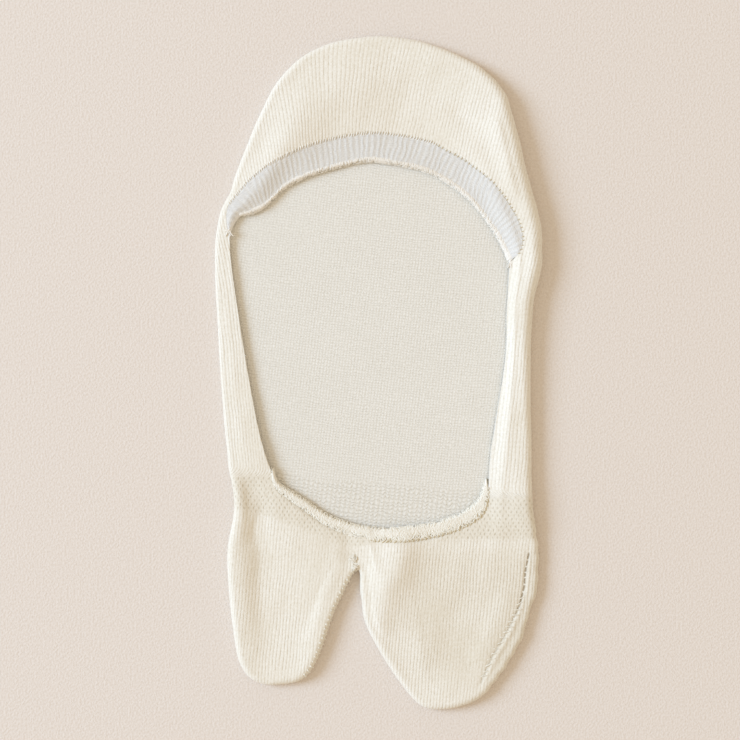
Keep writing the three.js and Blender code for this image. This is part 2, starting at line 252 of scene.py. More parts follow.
@dataclass
class SockForm:
    """The shape that all pieces of the sock share: its plan, heights and creases, in millimetres."""

    cloth: float = 1.0
    seam_gap: float = -0.1
    narrowest: float = 0.8
    fold_share: float = 0.45
    square_run: float = 7.0
    square_share: float = 0.45
    crown_share: float = 0.5
    crown_run: float = 15.0
    crease_fade: float = 3.0
    lowest: float = 2.2
    lowest_ease: float = 0.2
    flange: float = 0.35
    flange_away: float = 1.15
    flange_width: float = 0.8
    groove: float = 0.3
    groove_width: float = 0.45
    waver: float = 0.078
    lumps: float = 0.3
    lumps_from: float = 14.2
    lumps_to: float = 19.0
    lumps_blend: float = 0.6
    lump_rates: tuple[float, float] = (11.0, 4.3)
    heading_step: float = 0.02
    surface_step: float = 0.1
    surface_rings: int = 45
    surface_near: int = 4
    sections: Array = field(default_factory=lambda: np.array(SECTIONS, float))
    creases: tuple[Crease, ...] = CREASES

    def column(self, name: str, place: Array) -> Array:
        """Read one column anywhere round the sock, by a closed Catmull-Rom curve through the sections.

        Args:
            name: a field of Section.
            place: places round the sock, in sections from the first one.

        Returns:
            The column's value at each place.
        """
        rows = self.sections[:, Section._fields.index(name)]
        before = np.floor(place).astype(int)
        f = place - before
        a, b, c, d = (rows[(before + k) % len(rows)] for k in (-1, 0, 1, 2))
        return b + 0.5 * f * (c - a + f * (2 * a - 5 * b + 4 * c - d + f * (3 * (b - c) + d - a)))

    def rays(self, place: Array) -> Rays:
        """Work out the sections at the given places.

        Args:
            place: places round the sock, in sections from the first one.

        Returns:
            Their plan points, heights and band widths.
        """
        step = self.heading_step
        along = [self.column(n, place + step) - self.column(n, place - step) for n in ("out_x", "out_y")]
        outward = unit(np.stack([-along[1], along[0]], axis=1))
        out = np.stack([self.column("out_x", place), self.column("out_y", place)], axis=1)
        rim = np.stack([self.column("rim_x", place), self.column("rim_y", place)], axis=1)
        out = out + outward * self.outline_waver(place)[:, None]
        edge = self.column("edge", place)
        fold_depth = self.fold_share * edge
        square = np.minimum(self.square_run, self.square_share * np.linalg.norm(out - rim, axis=1))
        return Rays(
            place=place,
            outward=outward,
            rim=rim,
            fold=out - outward * fold_depth[:, None],
            turn=out - outward * np.maximum(square, fold_depth)[:, None],
            fold_depth=fold_depth,
            edge=edge,
            crown=self.column("crown", place),
            rim_z=self.column("rim", place),
            elastic=np.maximum(0.0, self.column("elastic", place)),
            hem=np.maximum(0.0, self.column("hem", place)),
        )

    def outline_waver(self, place: Array) -> Array:
        """How far the outline strays outward: a slight waver all round and lumps down the linked side.

        Args:
            place: places round the sock, in sections from the first one.

        Returns:
            The stray at each place.
        """
        turn = place * 2 * math.pi / len(self.sections)
        slight = sum(ripple.share * np.sin(ripple.rounds * turn + ripple.start) for ripple in RIPPLES)
        held = place % len(self.sections)
        linked = smooth((held - self.lumps_from) / self.lumps_blend)
        linked = linked * smooth((self.lumps_to - held) / self.lumps_blend)
        lumpy = np.sin(self.lump_rates[0] * place) * np.sin(self.lump_rates[1] * place + 0.8)
        return self.waver * slight + self.lumps * linked * lumpy

    def plan(self, rays: Rays, share: Array) -> Array:
        """Plan points on the sections: share 0 is where the fold starts, 1 the mouth's edge."""
        s = np.broadcast_to(share, rays.place.shape)[:, None]
        return (1 - s) ** 2 * rays.fold + 2 * s * (1 - s) * rays.turn + s**2 * rays.rim

    def share_at(self, rays: Rays, width: Array) -> Array:
        """The share of each section that lies a given width in from the mouth's edge."""
        whole = np.linalg.norm(rays.fold - rays.rim, axis=1)
        straight = np.linalg.norm(rays.turn - rays.rim, axis=1)
        return 1 - width / (straight + np.sqrt(np.maximum(straight**2 + (whole - 2 * straight) * width, 0)))

    def seam_width(self, rays: Rays) -> Array:
        """Width that the elastic or hem takes from the shell, with the seam's clearance."""
        width = np.maximum(rays.elastic, rays.hem)
        return width + self.seam_gap * np.clip(width / self.narrowest, 0, 1)

    def from_seam(self, xy: Array) -> tuple[Array, Array]:
        """Where plan points lie beside the linking seam.

        Args:
            xy: plan points.

        Returns:
            Distance from it, above 0 towards the outline, and run along it.
        """
        nearest = np.full(len(xy), np.inf)
        side, run, gone = np.zeros(len(xy)), np.zeros(len(xy)), 0.0
        line = np.array(LINKING_SEAM)
        for start, end in zip(line[:-1], line[1:]):
            ahead = end - start
            length = float(np.linalg.norm(ahead))
            share = ((xy - start) @ ahead) / length**2
            held = np.clip(share, 0, 1)
            off = xy - start - held[:, None] * ahead
            away = np.linalg.norm(off, axis=1)
            closer = away < nearest
            nearest = np.where(closer, away, nearest)
            side = np.where(closer, np.sign(ahead[1] * off[:, 0] - ahead[0] * off[:, 1]), side)
            run = np.where(closer, gone + held * length, run)
            gone += length
        return -side * nearest, run

    def relief(self, xy: Array) -> Array:
        """Creases, the linking seam's ridge and the slight waviness of a relaxed knit.

        Args:
            xy: plan points.

        Returns:
            Heights to add at those points.
        """
        x, y = xy[:, 0], xy[:, 1]
        total = np.zeros(len(xy))
        for c in self.creases:
            run = np.array([c.to_x - c.from_x, c.to_y - c.from_y])
            along = np.clip(((x - c.from_x) * run[0] + (y - c.from_y) * run[1]) / (run @ run), 0, 1)
            away = np.hypot(x - c.from_x - along * run[0], y - c.from_y - along * run[1])
            total += c.height * np.exp(-((away / c.width) ** 2))
        away, _ = self.from_seam(xy)
        total += self.flange * np.exp(-(((away - self.flange_away) / self.flange_width) ** 2))
        total -= self.groove * np.exp(-((away / self.groove_width) ** 2))
        for wave in WAVES:
            run = x * math.cos(wave.heading) + y * math.sin(wave.heading)
            total += wave.height * np.sin(run * 2 * math.pi / wave.length + wave.start)
        return total

    def top_height(self, rays: Rays, share: Array) -> Array:
        """Height of the top layer's upper surface over the floor.

        Args:
            rays: the sections.
            share: place on each, 0 where the fold starts and 1 at the mouth's edge.

        Returns:
            The heights.
        """
        xy = self.plan(rays, share)
        gone = np.linalg.norm(xy - rays.fold, axis=1)
        whole = np.linalg.norm(rays.rim - rays.fold, axis=1)
        rise_run = np.minimum(self.crown_run, self.crown_share * whole)
        base = mix(rays.edge, rays.crown, smooth(gone / rise_run))
        base = mix(base, rays.rim_z, smooth((gone - rise_run) / (whole - rise_run)))
        height = base + self.relief(xy) * smooth(gone / self.crease_fade)
        spare = height - self.lowest
        return self.lowest + 0.5 * (spare + np.sqrt(spare**2 + self.lowest_ease**2))

    def surface(self, xy: Array) -> Array:
        """Height of the top layer at plan points anywhere on it, from the nearest sections.

        Args:
            xy: plan points.

        Returns:
            Heights over the floor.
        """
        rounds = np.arange(0, len(self.sections), self.surface_step)
        places, shares = np.meshgrid(rounds, np.linspace(0, 1, self.surface_rings))
        rays = self.rays(places.reshape(-1))
        known = self.plan(rays, shares.reshape(-1))
        heights = self.top_height(rays, shares.reshape(-1))
        away = ((xy[:, None, :] - known[None, :, :]) ** 2).sum(axis=2)
        near = np.argpartition(away, self.surface_near, axis=1)[:, : self.surface_near]
        weight = 1 / (np.take_along_axis(away, near, axis=1) + 1e-4)
        return (heights[near] * weight).sum(axis=1) / weight.sum(axis=1)


# ------------------------------------------------------------------------------------------ mesh building
def add_object(name: str, data: bpy.types.ID) -> bpy.types.Object:
    """Make an object of a mesh, light or camera and link it to the scene."""
    made = bpy.data.objects.new(name, data)
    bpy.context.scene.collection.objects.link(made)
    return made


def store(mesh: bpy.types.Mesh, name: str, values: Array) -> None:
    """Store one value on each point of a mesh, for its finish to read."""
    mesh.attributes.new(name, "FLOAT", "POINT").data.foreach_set("value", values.astype(np.float32))


@dataclass
class Ring:
    """A row of points of a surface, with the fabric coordinates of the strips before and after it."""

    points: Array
    fabric: Array
    fabric_after: Array | None = None

    def after(self) -> Array:
        """Fabric coordinates for the strip that follows this ring."""
        return self.fabric if self.fabric_after is None else self.fabric_after


class Cloth:
    """Collects points, faces and the fabric coordinates of face corners, then makes one mesh object."""

    def __init__(self) -> None:
        """Start empty."""
        self.points: list[Array] = []
        self.faces: list[Array] = []
        self.corners: list[Array] = []
        self.finish: list[Array] = []
        self.fans: list[tuple[tuple[int, ...], tuple[Array, ...]]] = []
        self.count = 0

    def add(self, points: Array) -> Array:
        """Add a block of points and return their numbers."""
        self.points.append(np.asarray(points, float).reshape(-1, 3))
        first = self.count
        self.count += len(self.points[-1])
        return np.arange(first, self.count)

    def strip(
        self, near: Array, far: Array, near_uv: Array, far_uv: Array, finish: int, closed: bool = True
    ) -> None:
        """Join two rows of points by quads.

        Args:
            near: point numbers of the first row.
            far: point numbers of the second row, as many.
            near_uv: fabric coordinates of the first row.
            far_uv: fabric coordinates of the second row.
            finish: index of the material slot.
            closed: whether the rows' ends join.
        """
        order = np.arange(len(near) if closed else len(near) - 1)
        after = (order + 1) % len(near)
        self.faces.append(np.stack([near[order], near[after], far[after], far[order]], axis=1))
        self.corners.append(np.stack([near_uv[order], near_uv[after], far_uv[after], far_uv[order]], axis=1))
        self.finish.append(np.full(len(order), finish))

    def grid(self, numbers: Array, uv: Array, finish: int) -> None:
        """Join a square grid of point numbers by quads."""
        for row in range(len(numbers) - 1):
            self.strip(numbers[row], numbers[row + 1], uv[row], uv[row + 1], finish, closed=False)

    def object(self, name: str, materials: Sequence[bpy.types.Material]) -> bpy.types.Object:
        """Make the mesh object.

        Args:
            name: the piece's name.
            materials: its material slots, in order.

        Returns:
            The new object, linked to the scene.
        """
        points = np.concatenate(self.points) * MM
        faces = np.concatenate(self.faces).tolist() + [list(map(int, corners)) for corners, _ in self.fans]
        uv = [np.concatenate(self.corners).reshape(-1, 2), *(np.array(fan_uv) for _, fan_uv in self.fans)]
        finish = np.concatenate([*self.finish, np.zeros(len(self.fans))])
        mesh = bpy.data.meshes.new(name)
        mesh.from_pydata(points.tolist(), [], faces)
        layer = mesh.uv_layers.new(name="fabric")
        layer.data.foreach_set("uv", np.concatenate(uv).reshape(-1).astype(np.float32))
        mesh.polygons.foreach_set("material_index", finish.astype(np.int32))
        mesh.polygons.foreach_set("use_smooth", np.ones(len(faces), bool))
        for material in materials:
            mesh.materials.append(material)
        mesh.update()
        return add_object(name, mesh)


def tube(path: Array, radius: float, sides: int = 6) -> tuple[Array, Array]:
    """A thread along a path, closed to points at both ends.

    Args:
        path: points along the middle of the thread, in millimetres.
        radius: its radius.
        sides: how many sides it has.

    Returns:
        Its points, and its faces as four point numbers each (the last two alike on the end triangles).
    """
    along = unit(np.gradient(path, axis=0))
    upright = np.array([0.001, 0.001, 1.001])  # a little off, so that an upright thread has a side too
    side = unit(np.cross(along, upright))
    lift = np.cross(side, along)
    angles = np.arange(sides) * 2 * math.pi / sides
    cos, sin = np.cos(angles)[None, :, None], np.sin(angles)[None, :, None]
    ring = cos * side[:, None, :] + sin * lift[:, None, :]
    rings = path[:, None, :] + ring * radius
    ends = (path[:1] - along[:1] * radius, path[-1:] + along[-1:] * radius)
    points = np.concatenate([rings.reshape(-1, 3), *ends])
    faces = []
    for k in range(len(path) - 1):
        for i in range(sides):
            j = (i + 1) % sides
            faces.append((k * sides + i, (k + 1) * sides + i, (k + 1) * sides + j, k * sides + j))
    start, end, last = len(path) * sides, len(path) * sides + 1, (len(path) - 1) * sides
    for i in range(sides):
        j = (i + 1) % sides
        faces.append((start, i, j, j))
        faces.append((end, last + j, last + i, last + i))
    return points, np.array(faces)


def thread_object(
    name: str, paths: Sequence[tuple[Array, float]], material: bpy.types.Material
) -> bpy.types.Object:
    """Join many threads into one mesh object.

    Args:
        name: the piece's name.
        paths: the path and radius of each thread, in millimetres.
        material: the yarn's finish.

    Returns:
        The new object.
    """
    points, faces, first = [], [], 0
    for path, radius in paths:
        more_points, more_faces = tube(path, radius)
        points.append(more_points)
        faces.append(more_faces + first)
        first += len(more_points)
    mesh = bpy.data.meshes.new(name)
    rows = [tuple(dict.fromkeys(face)) for face in np.concatenate(faces).tolist()]
    mesh.from_pydata((np.concatenate(points) * MM).tolist(), [], rows)
    mesh.polygons.foreach_set("use_smooth", np.ones(len(rows), bool))
    mesh.materials.append(material)
    mesh.update()
    return add_object(name, mesh)


# ------------------------------------------------------------------------------------------------- finishes
class Wire:
    """A value in one material's nodes; arithmetic on it adds the nodes that work it out."""

    def __init__(self, graph: "Graph", socket: bpy.types.NodeSocket) -> None:
        """Hold one output socket and the material it belongs to."""
        self.graph = graph
        self.socket = socket

    def __add__(self, other: "Value") -> "Wire":
        """Sum."""
        return self.graph.math("ADD", self, other)

    def __sub__(self, other: "Value") -> "Wire":
        """Difference."""
        return self.graph.math("SUBTRACT", self, other)

    def __rsub__(self, other: "Value") -> "Wire":
        """Difference from a number."""
        return self.graph.math("SUBTRACT", other, self)

    def __mul__(self, other: "Value") -> "Wire":
        """Product."""
        return self.graph.math("MULTIPLY", self, other)

    def __truediv__(self, other: "Value") -> "Wire":
        """Quotient."""
        return self.graph.math("DIVIDE", self, other)

    def __pow__(self, other: float) -> "Wire":
        """Power."""
        return self.graph.math("POWER", self, other)

    def __abs__(self) -> "Wire":
        """Size without its sign."""
        return self.graph.math("ABSOLUTE", self)

    def held(self) -> "Wire":
        """The value held between 0 and 1."""
        return self.graph.math("ADD", self, 0.0, clamp=True)

    def within(self) -> "Wire":
        """Place within its own unit step, from 0 to 1."""
        return self.graph.math("FRACT", self)

    def from_middle(self) -> "Wire":
        """0 on the middle of each unit step and 1 at its ends."""
        return abs(self.within() * 2.0 - 1.0)

    def ramp(self, low: float, high: float) -> "Wire":
        """Ease from 0 at low to 1 at high."""
        made = self.graph.node("ShaderNodeMapRange", interpolation_type="SMOOTHSTEP")
        for socket, item in zip(made.inputs, (self, low, high, 0.0, 1.0)):
            self.graph.put(socket, item)
        return Wire(self.graph, made.outputs[0])


Value = Wire | float


class Graph:
    """Adds shader nodes to one new material, by short calls."""

    def __init__(self, name: str) -> None:
        """Start a material with a plain cloth shader.

        Args:
            name: the material's name.
        """
        self.material = bpy.data.materials.new(name)
        self.material.use_nodes = True
        self.tree = self.material.node_tree
        self.shader = self.tree.nodes["Principled BSDF"]

    def put(self, socket: bpy.types.NodeSocket, value: Value | Rgba) -> None:
        """Link or set one input socket."""
        if isinstance(value, Wire):
            self.tree.links.new(value.socket, socket)
        else:
            socket.default_value = value

    def node(self, kind: str, **settings: object) -> bpy.types.Node:
        """Add a node and set its named options."""
        made = self.tree.nodes.new(kind)
        for name, value in settings.items():
            setattr(made, name, value)
        return made

    def math(self, operation: str, *values: Value, clamp: bool = False) -> Wire:
        """One arithmetic step on one or two values."""
        made = self.node("ShaderNodeMath", operation=operation, use_clamp=clamp)
        for socket, value in zip(made.inputs, values):
            self.put(socket, value)
        return Wire(self, made.outputs[0])

    def colour(self, share: Wire, first: Wire | Rgba, second: Wire | Rgba) -> Wire:
        """Mix two colours by a share."""
        made = self.node("ShaderNodeMix", data_type="RGBA")
        for index, value in ((0, share), (6, first), (7, second)):
            self.put(made.inputs[index], value)
        return Wire(self, made.outputs[2])

    def mask(self, name: str) -> Wire:
        """A value stored on the piece's points."""
        return Wire(self, self.node("ShaderNodeAttribute", attribute_name=name).outputs["Fac"])

    def fabric(self) -> tuple[Wire, Wire]:
        """The piece's own fabric coordinates: wales and courses, counted from its middle."""
        uv = self.node("ShaderNodeUVMap", uv_map="fabric")
        split = self.node("ShaderNodeSeparateXYZ")
        self.tree.links.new(uv.outputs[0], split.inputs[0])
        return Wire(self, split.outputs[0]), Wire(self, split.outputs[1])

    def place(self, across: float, along: float) -> tuple[Wire, Wire]:
        """The piece's own place in plan, counted in steps of the given width and length in metres."""
        where = self.node("ShaderNodeTexCoord")
        split = self.node("ShaderNodeSeparateXYZ")
        self.tree.links.new(where.outputs["Object"], split.inputs[0])
        return Wire(self, split.outputs[0]) * (1 / across), Wire(self, split.outputs[1]) * (1 / along)

    def cloth_noise(self, x: Wire, y: Wire, scale_x: float, scale_y: float, detail: float = 2.0) -> Wire:
        """Smooth noise over two fabric coordinates.

        Args:
            x: coordinate across the columns.
            y: coordinate along them.
            scale_x: cycles a step of x.
            scale_y: cycles a step of y.
            detail: how many finer layers are added.

        Returns:
            A value of about 0 to 1.
        """
        joined = self.node("ShaderNodeCombineXYZ")
        self.put(joined.inputs[0], x * scale_x)
        self.put(joined.inputs[1], y * scale_y)
        made = self.node("ShaderNodeTexNoise", noise_dimensions="2D")
        self.tree.links.new(joined.outputs[0], made.inputs["Vector"])
        made.inputs["Scale"].default_value = 1.0
        made.inputs["Detail"].default_value = detail
        return Wire(self, made.outputs[0])

    def place_noise(self, scale: float, detail: float = 2.0) -> Wire:
        """Smooth noise over the piece's own place in space.

        Args:
            scale: cycles a metre.
            detail: how many finer layers are added.

        Returns:
            A value of about 0 to 1.
        """
        where = self.node("ShaderNodeTexCoord")
        made = self.node("ShaderNodeTexNoise")
        self.tree.links.new(where.outputs["Object"], made.inputs["Vector"])
        made.inputs["Scale"].default_value = scale
        made.inputs["Detail"].default_value = detail
        return Wire(self, made.outputs[0])

    def bump(self, height: Wire, distance: float, strength: float, under: Wire | None = None) -> Wire:
        """A bumped normal.

        Args:
            height: the height that shows as relief, about 0 to 1.
            distance: its depth in metres.
            strength: share of it that is used.
            under: coarser or finer normal that it lies on, if any.

        Returns:
            The normal.
        """
        made = self.node("ShaderNodeBump")
        made.inputs["Strength"].default_value = strength
        made.inputs["Distance"].default_value = distance
        self.put(made.inputs["Height"], height)
        if under is not None:
            self.put(made.inputs["Normal"], under)
        return Wire(self, made.outputs[0])

    def fuzz(self, depth: float) -> Wire:
        """The fine nap of spun yarn, as a bumped normal, depth deep in metres."""
        return self.bump(self.place_noise(2600.0, 3.0), depth, 0.8)

    def dress(self, colour: Wire, normal: Wire, roughness: float, sheen: float) -> bpy.types.Material:
        """Finish the material as matt yarn.

        Args:
            colour: base colour.
            normal: bumped normal.
            roughness: roughness of the yarn.
            sheen: how much its fibres catch light at a slant.

        Returns:
            The material.
        """
        self.put(self.shader.inputs["Base Color"], colour)
        self.put(self.shader.inputs["Normal"], normal)
        self.shader.inputs["Roughness"].default_value = roughness
        self.shader.inputs["Specular IOR Level"].default_value = 0.15
        self.shader.inputs["Sheen Weight"].default_value = sheen
        self.shader.inputs["Sheen Roughness"].default_value = 0.6
        return self.material


@dataclass(frozen=True)
class Shading:
    """How far each layer of a knit's pattern lightens it, and the scale of its fibres and clouds."""

    # knit: painted shade, how far the hollows between stitches are darkened towards the deep colour
    knit: float
    speckle: float
    fibre: float
    cloud: float
    dark: float
    fibre_scale: float = 1300.0
    cloud_scale: float = 60.0

    def lightness(self, g: Graph, knit: Wire, speckle: Wire) -> Wire:
        """Lightness of the yarn, 0 for its deep colour and 1 for its light one, not yet held to that range.

        Args:
            g: the material's nodes.
            knit: height of the stitches.
            speckle: unevenness of the stitches.

        Returns:
            The lightness.
        """
        fibre = g.place_noise(self.fibre_scale, 3.0)
        cloud = g.place_noise(self.cloud_scale) - 0.5
        # the knit term is painted shade in the hollows between stitches; speckle, fibre and cloud are the
        # yarn's own uneven tone
        layers = knit * self.knit + speckle * self.speckle + fibre * self.fibre
        return layers + cloud * self.cloud - self.dark


@dataclass(frozen=True)
class Jersey:
    """The face of plain jersey: columns of slanted stitches, mesh across the instep and the linking seam."""

    name: str = "jersey_face"
    light: Rgba = linear(245, 241, 230)
    # deep: the yarn's darker tone and also painted shade, taken by the hollows between stitches
    deep: Rgba = linear(219, 209, 187)
    # painted shade seen through the mesh's holes, which are only drawn, not cut
    hole: Rgba = linear(190, 178, 152)
    # painted shade in the linking seam's slits, which are only drawn, not cut
    slit: Rgba = linear(150, 128, 92)
    shading: Shading = Shading(knit=0.42, speckle=0.62, fibre=0.5, cloud=0.15, dark=0.12, cloud_scale=70.0)
    wobble: float = 0.9
    patch_scale: float = 42.0
    patch_level: float = 0.34
    patch_contrast: float = 2.6
    worn: float = 0.7
    slant: float = 0.55
    leg_gap: float = 0.45
    mesh_fade: float = 0.8
    mesh_dark: float = 0.08
    spread_dark: float = 0.22
    gap_shade: float = 0.14
    gap_depth: float = 0.35
    hole_shade: float = 0.5
    hole_depth: float = 1.1
    slit_shade: float = 0.75
    slit_depth: float = 2.0
    speckle_height: float = 0.7
    depth: float = 0.1 * MM
    fuzz_depth: float = 0.08 * MM
    hole_width: float = 1.55 * MM
    hole_row: float = 1.13 * MM
    hole_wander: float = 0.9
    stitch_run: float = 2.1
    stitch_wander: float = 1.5
    slit_wander: float = 0.5
    slit_closing: float = 0.72
    closing_run: tuple[float, float] = (14.0, 24.0)
    seam_start: tuple[float, float] = (0.3, 1.6)
    seam_end: tuple[float, float] = (43.0, 46.0)

    def material(self) -> bpy.types.Material:
        """Build the shader.

        Returns:
            The material; it reads the fabric coordinates, the mesh band's mask and the seam's distances.
        """
        g = Graph(self.name)
        wales, courses = g.fabric()
        wales = wales + (g.cloth_noise(wales, courses, 0.16, 0.07) - 0.5) * self.wobble
        across = wales.from_middle()
        leg = (courses - across * self.slant).from_middle()
        band = g.mask("mesh_band")
        fade = 1.0 - band * self.mesh_fade
        patchy = (g.place_noise(self.patch_scale) - self.patch_level) * self.patch_contrast
        raised = (patchy + g.cloth_noise(wales, courses, 0.4, 0.2) * self.worn).held()
        knit = (1.0 - across**2.0) * (1.0 - leg**2.0 * self.leg_gap) * fade * raised
        hole = self.holes(g, band)
        slit = self.slits(g)
        gaps = self.gaps(g, wales, courses, across) * fade
        speckle = g.cloth_noise(wales, courses, 1.4, 1.1)
        # the gaps' share is painted shade between columns; spread and band darken the knit's own tone
        loose = g.mask("spread") * self.spread_dark + band * self.mesh_dark + gaps * self.gap_shade
        # the stitches' height paints shade into their hollows here
        colour = g.colour((self.shading.lightness(g, knit, speckle) - loose).held(), self.deep, self.light)
        # painted shade in the mesh's holes
        colour = g.colour(hole * self.hole_shade, colour, self.hole)
        # painted shade in the linking seam's slits
        colour = g.colour(slit * self.slit_shade, colour, self.slit)
        height = knit + speckle * self.speckle_height
        height = height - hole * self.hole_depth - gaps * self.gap_depth - slit * self.slit_depth
        return g.dress(colour, g.bump(height, self.depth, 0.8, g.fuzz(self.fuzz_depth)), 0.9, 0.3)

    def gaps(self, g: Graph, wales: Wire, courses: Wire, across: Wire) -> Wire:
        """Short gaps between columns, here and there, where shade is painted in.

        Args:
            g: the material's nodes.
            wales: coordinate across the columns.
            courses: coordinate along them.
            across: 0 on a column's middle and 1 between columns.

        Returns:
            1 in a gap and 0 elsewhere.
        """
        return across.ramp(0.55, 0.95) * g.cloth_noise(wales, courses, 1.1, 0.45, 1.0).ramp(0.48, 0.62)

    def holes(self, g: Graph, band: Wire) -> Wire:
        """Small upright holes of the tuck mesh, set in rows and staggered from row to row.

        Args:
            g: the material's nodes.
            band: 1 where the knit is mesh.

        Returns:
            1 in a hole and 0 elsewhere.
        """
        x, y = g.place(self.hole_width, self.hole_row)
        stagger = g.math("FLOORED_MODULO", g.math("FLOOR", y), 2.0) * 0.5
        column = x + stagger + g.place_noise(420.0, 1.0) * self.hole_wander
        across = (column.within() - 0.5) * 1.9
        along = (y.within() - 0.5) * 0.8
        away = g.math("SQRT", across * across + along * along)
        return (1.0 - away.ramp(0.08, 0.42)) * band * (g.place_noise(800.0, 1.0) + 0.35)

    def slits(self, g: Graph) -> Wire:
        """Slits between the stitches of the linking seam, widest open near the instep; they are only drawn, as
        painted shade and a dent.

        Args:
            g: the material's nodes.

        Returns:
            1 in a slit and 0 elsewhere.
        """
        run = g.mask("seam_run")
        away = abs(g.mask("seam_away") + (g.place_noise(500.0, 1.0) - 0.5) * self.slit_wander)
        dash = (run / self.stitch_run + g.place_noise(240.0, 1.0) * self.stitch_wander).from_middle()
        closing = 1.0 - run.ramp(*self.closing_run) * self.slit_closing
        ends = run.ramp(*self.seam_start) * (1.0 - run.ramp(*self.seam_end))
        return (1.0 - away.ramp(0.12, 0.38)) * (1.0 - dash.ramp(0.6, 0.9)) * closing * ends


@dataclass(frozen=True)
class Purl:
    """The inside of the jersey: fine rows of purl bumps, with wavier and looser rows in the mesh band."""

    name: str = "jersey_inside"
    light: Rgba = linear(242, 239, 230)
    # deep: the yarn's darker tone and also painted shade, taken by the low places between purl rows
    deep: Rgba = linear(205, 199, 183)
    shading: Shading = Shading(knit=0.42, speckle=0.75, fibre=0.4, cloud=0.12, dark=0.2)
    wobble: float = 1.4
    plain_floor: float = 0.3
    speckle_height: float = 0.6
    depth: float = 0.16 * MM
    fuzz_depth: float = 0.06 * MM

    def material(self) -> bpy.types.Material:
        """Build the shader.

        Returns:
            The material; it reads the fabric coordinates and the mesh band's mask.
        """
        g = Graph(self.name)
        wales, courses = g.fabric()
        courses = courses + (g.cloth_noise(wales, courses, 0.12, 0.2) - 0.5) * self.wobble
        band = g.mask("mesh_band")
        plain = self.rows(g, wales, courses, across=1.0, along=1.0, wave=0.14)
        plain = plain * (1 - self.plain_floor) + self.plain_floor
        loose = self.rows(g, wales, courses, across=0.62, along=0.73, wave=0.3)
        rows = plain * (1.0 - band) + loose * band
        speckle = g.cloth_noise(wales, courses, 1.6, 1.6)
        # the rows' height paints shade between them here
        colour = g.colour(self.shading.lightness(g, rows, speckle).held(), self.deep, self.light)
        height = rows + speckle * self.speckle_height
        return g.dress(colour, g.bump(height, self.depth, 0.7, g.fuzz(self.fuzz_depth)), 0.92, 0.1)

    def rows(self, g: Graph, wales: Wire, courses: Wire, across: float, along: float, wave: float) -> Wire:
        """Purl bumps in rows that rise and fall with each column.

        Args:
            g: the material's nodes.
            wales: coordinate across the columns.
            courses: coordinate along them.
            across: columns a wale.
            along: rows a course.
            wave: how far a row rises and falls, as a share of its width.

        Returns:
            Height from 0 to 1.
        """
        phase = g.math("SINE", wales * (2 * math.pi * across))
        wander = g.cloth_noise(wales, courses, 0.5, 0.3) - 0.5
        row = courses * along + phase * (wave * 0.35) + wander * (wave * 5)
        return (1.0 - row.from_middle() ** 2.6) * (phase * 0.25 + 0.75)


@dataclass(frozen=True)
class Rib:
    """Ribbed elastic: cool off-white columns across the band, broken by its courses, with a white edge."""

    name: str = "rib_elastic"
    light: Rgba = linear(237, 234, 226)
    # deep: the elastic's darker tone and also painted shade, taken by the hollows between ribs and courses
    deep: Rgba = linear(201, 199, 194)
    white: Rgba = linear(243, 240, 233)
    shading: Shading = Shading(knit=0.3, speckle=0.65, fibre=0.4, cloud=0.0, dark=0.08, fibre_scale=1500.0)
    wobble: float = 1.7
    course_drift: float = 3.0
    dash_gap: float = 0.7
    picot_tint: float = 0.8
    speckle_height: float = 0.9
    depth: float = 0.12 * MM
    fuzz_depth: float = 0.06 * MM

    def material(self) -> bpy.types.Material:
        """Build the shader.

        Returns:
            The material; fabric coordinates count ribs along the band and courses across it.
        """
        g = Graph(self.name)
        ribs, courses = g.fabric()
        drift = g.cloth_noise(ribs, courses, 0.35, 0.12)
        moved = ribs + (drift - 0.5) * self.wobble
        column = 1.0 - moved.from_middle() ** 1.6
        # dash darkens between courses: painted shade there as well as relief
        dash = 1.0 - (courses + drift * self.course_drift).from_middle() ** 2.0 * self.dash_gap
        knit = column * dash * (g.cloth_noise(ribs, courses, 0.4, 0.3) + 0.4)
        speckle = g.cloth_noise(moved, courses, 2.4, 1.2)
        colour = g.colour(self.shading.lightness(g, knit, speckle).held(), self.deep, self.light)
        colour = g.colour(g.mask("picot") * self.picot_tint, colour, self.white)
        height = knit + speckle * self.speckle_height
        return g.dress(colour, g.bump(height, self.depth, 0.8, g.fuzz(self.fuzz_depth)), 0.9, 0.15)


@dataclass(frozen=True)
class Yarn:
    """Sewing, linking or hem yarn: matt, with a fine grain."""

    name: str
    light: Rgba
    deep: Rgba
    grain_scale: float = 1800.0
    depth: float = 0.05 * MM

    def material(self) -> bpy.types.Material:
        """Build the shader.

        Returns:
            The material.
        """
        g = Graph(self.name)
        grain = g.place_noise(self.grain_scale)
        colour = g.colour(grain, self.deep, self.light)
        return g.dress(colour, g.bump(grain, self.depth, 0.7), 0.9, 0.1)


@dataclass(frozen=True)
class Surface:
    """The plain pale surface that the sock lies on."""

    name: str = "pale_surface"
    light: Rgba = linear(233, 224, 214)
    deep: Rgba = linear(226, 215, 203)
    grain_scale: float = 1500.0
    depth: float = 0.2 * MM

    def material(self) -> bpy.types.Material:
        """Build the shader.

        Returns:
            The material.
        """
        g = Graph(self.name)
        grain = g.place_noise(self.grain_scale, 3.0)
        colour = g.colour(grain.ramp(0.3, 0.7), self.deep, self.light)
        return g.dress(colour, g.bump(grain, self.depth, 1.0), 0.75, 0.0)


OVERLOCK_YARN = Yarn("overlock_thread", linear(250, 246, 238), linear(234, 228, 215))
HEM_YARN = Yarn("hem_thread", linear(246, 242, 231), linear(233, 228, 212))
HEM_KNIT = Yarn("hem_knit", linear(246, 242, 231), linear(232, 226, 210))
LINKING_YARN = Yarn("linking_thread", linear(243, 239, 228), linear(220, 211, 190))
# real seam threads whose warm brown is painted shade, the dark of the seams' gaps given to the threads
TAN_SHADE_YARN = Yarn("tan_shade_thread", linear(226, 215, 188), linear(190, 172, 134))


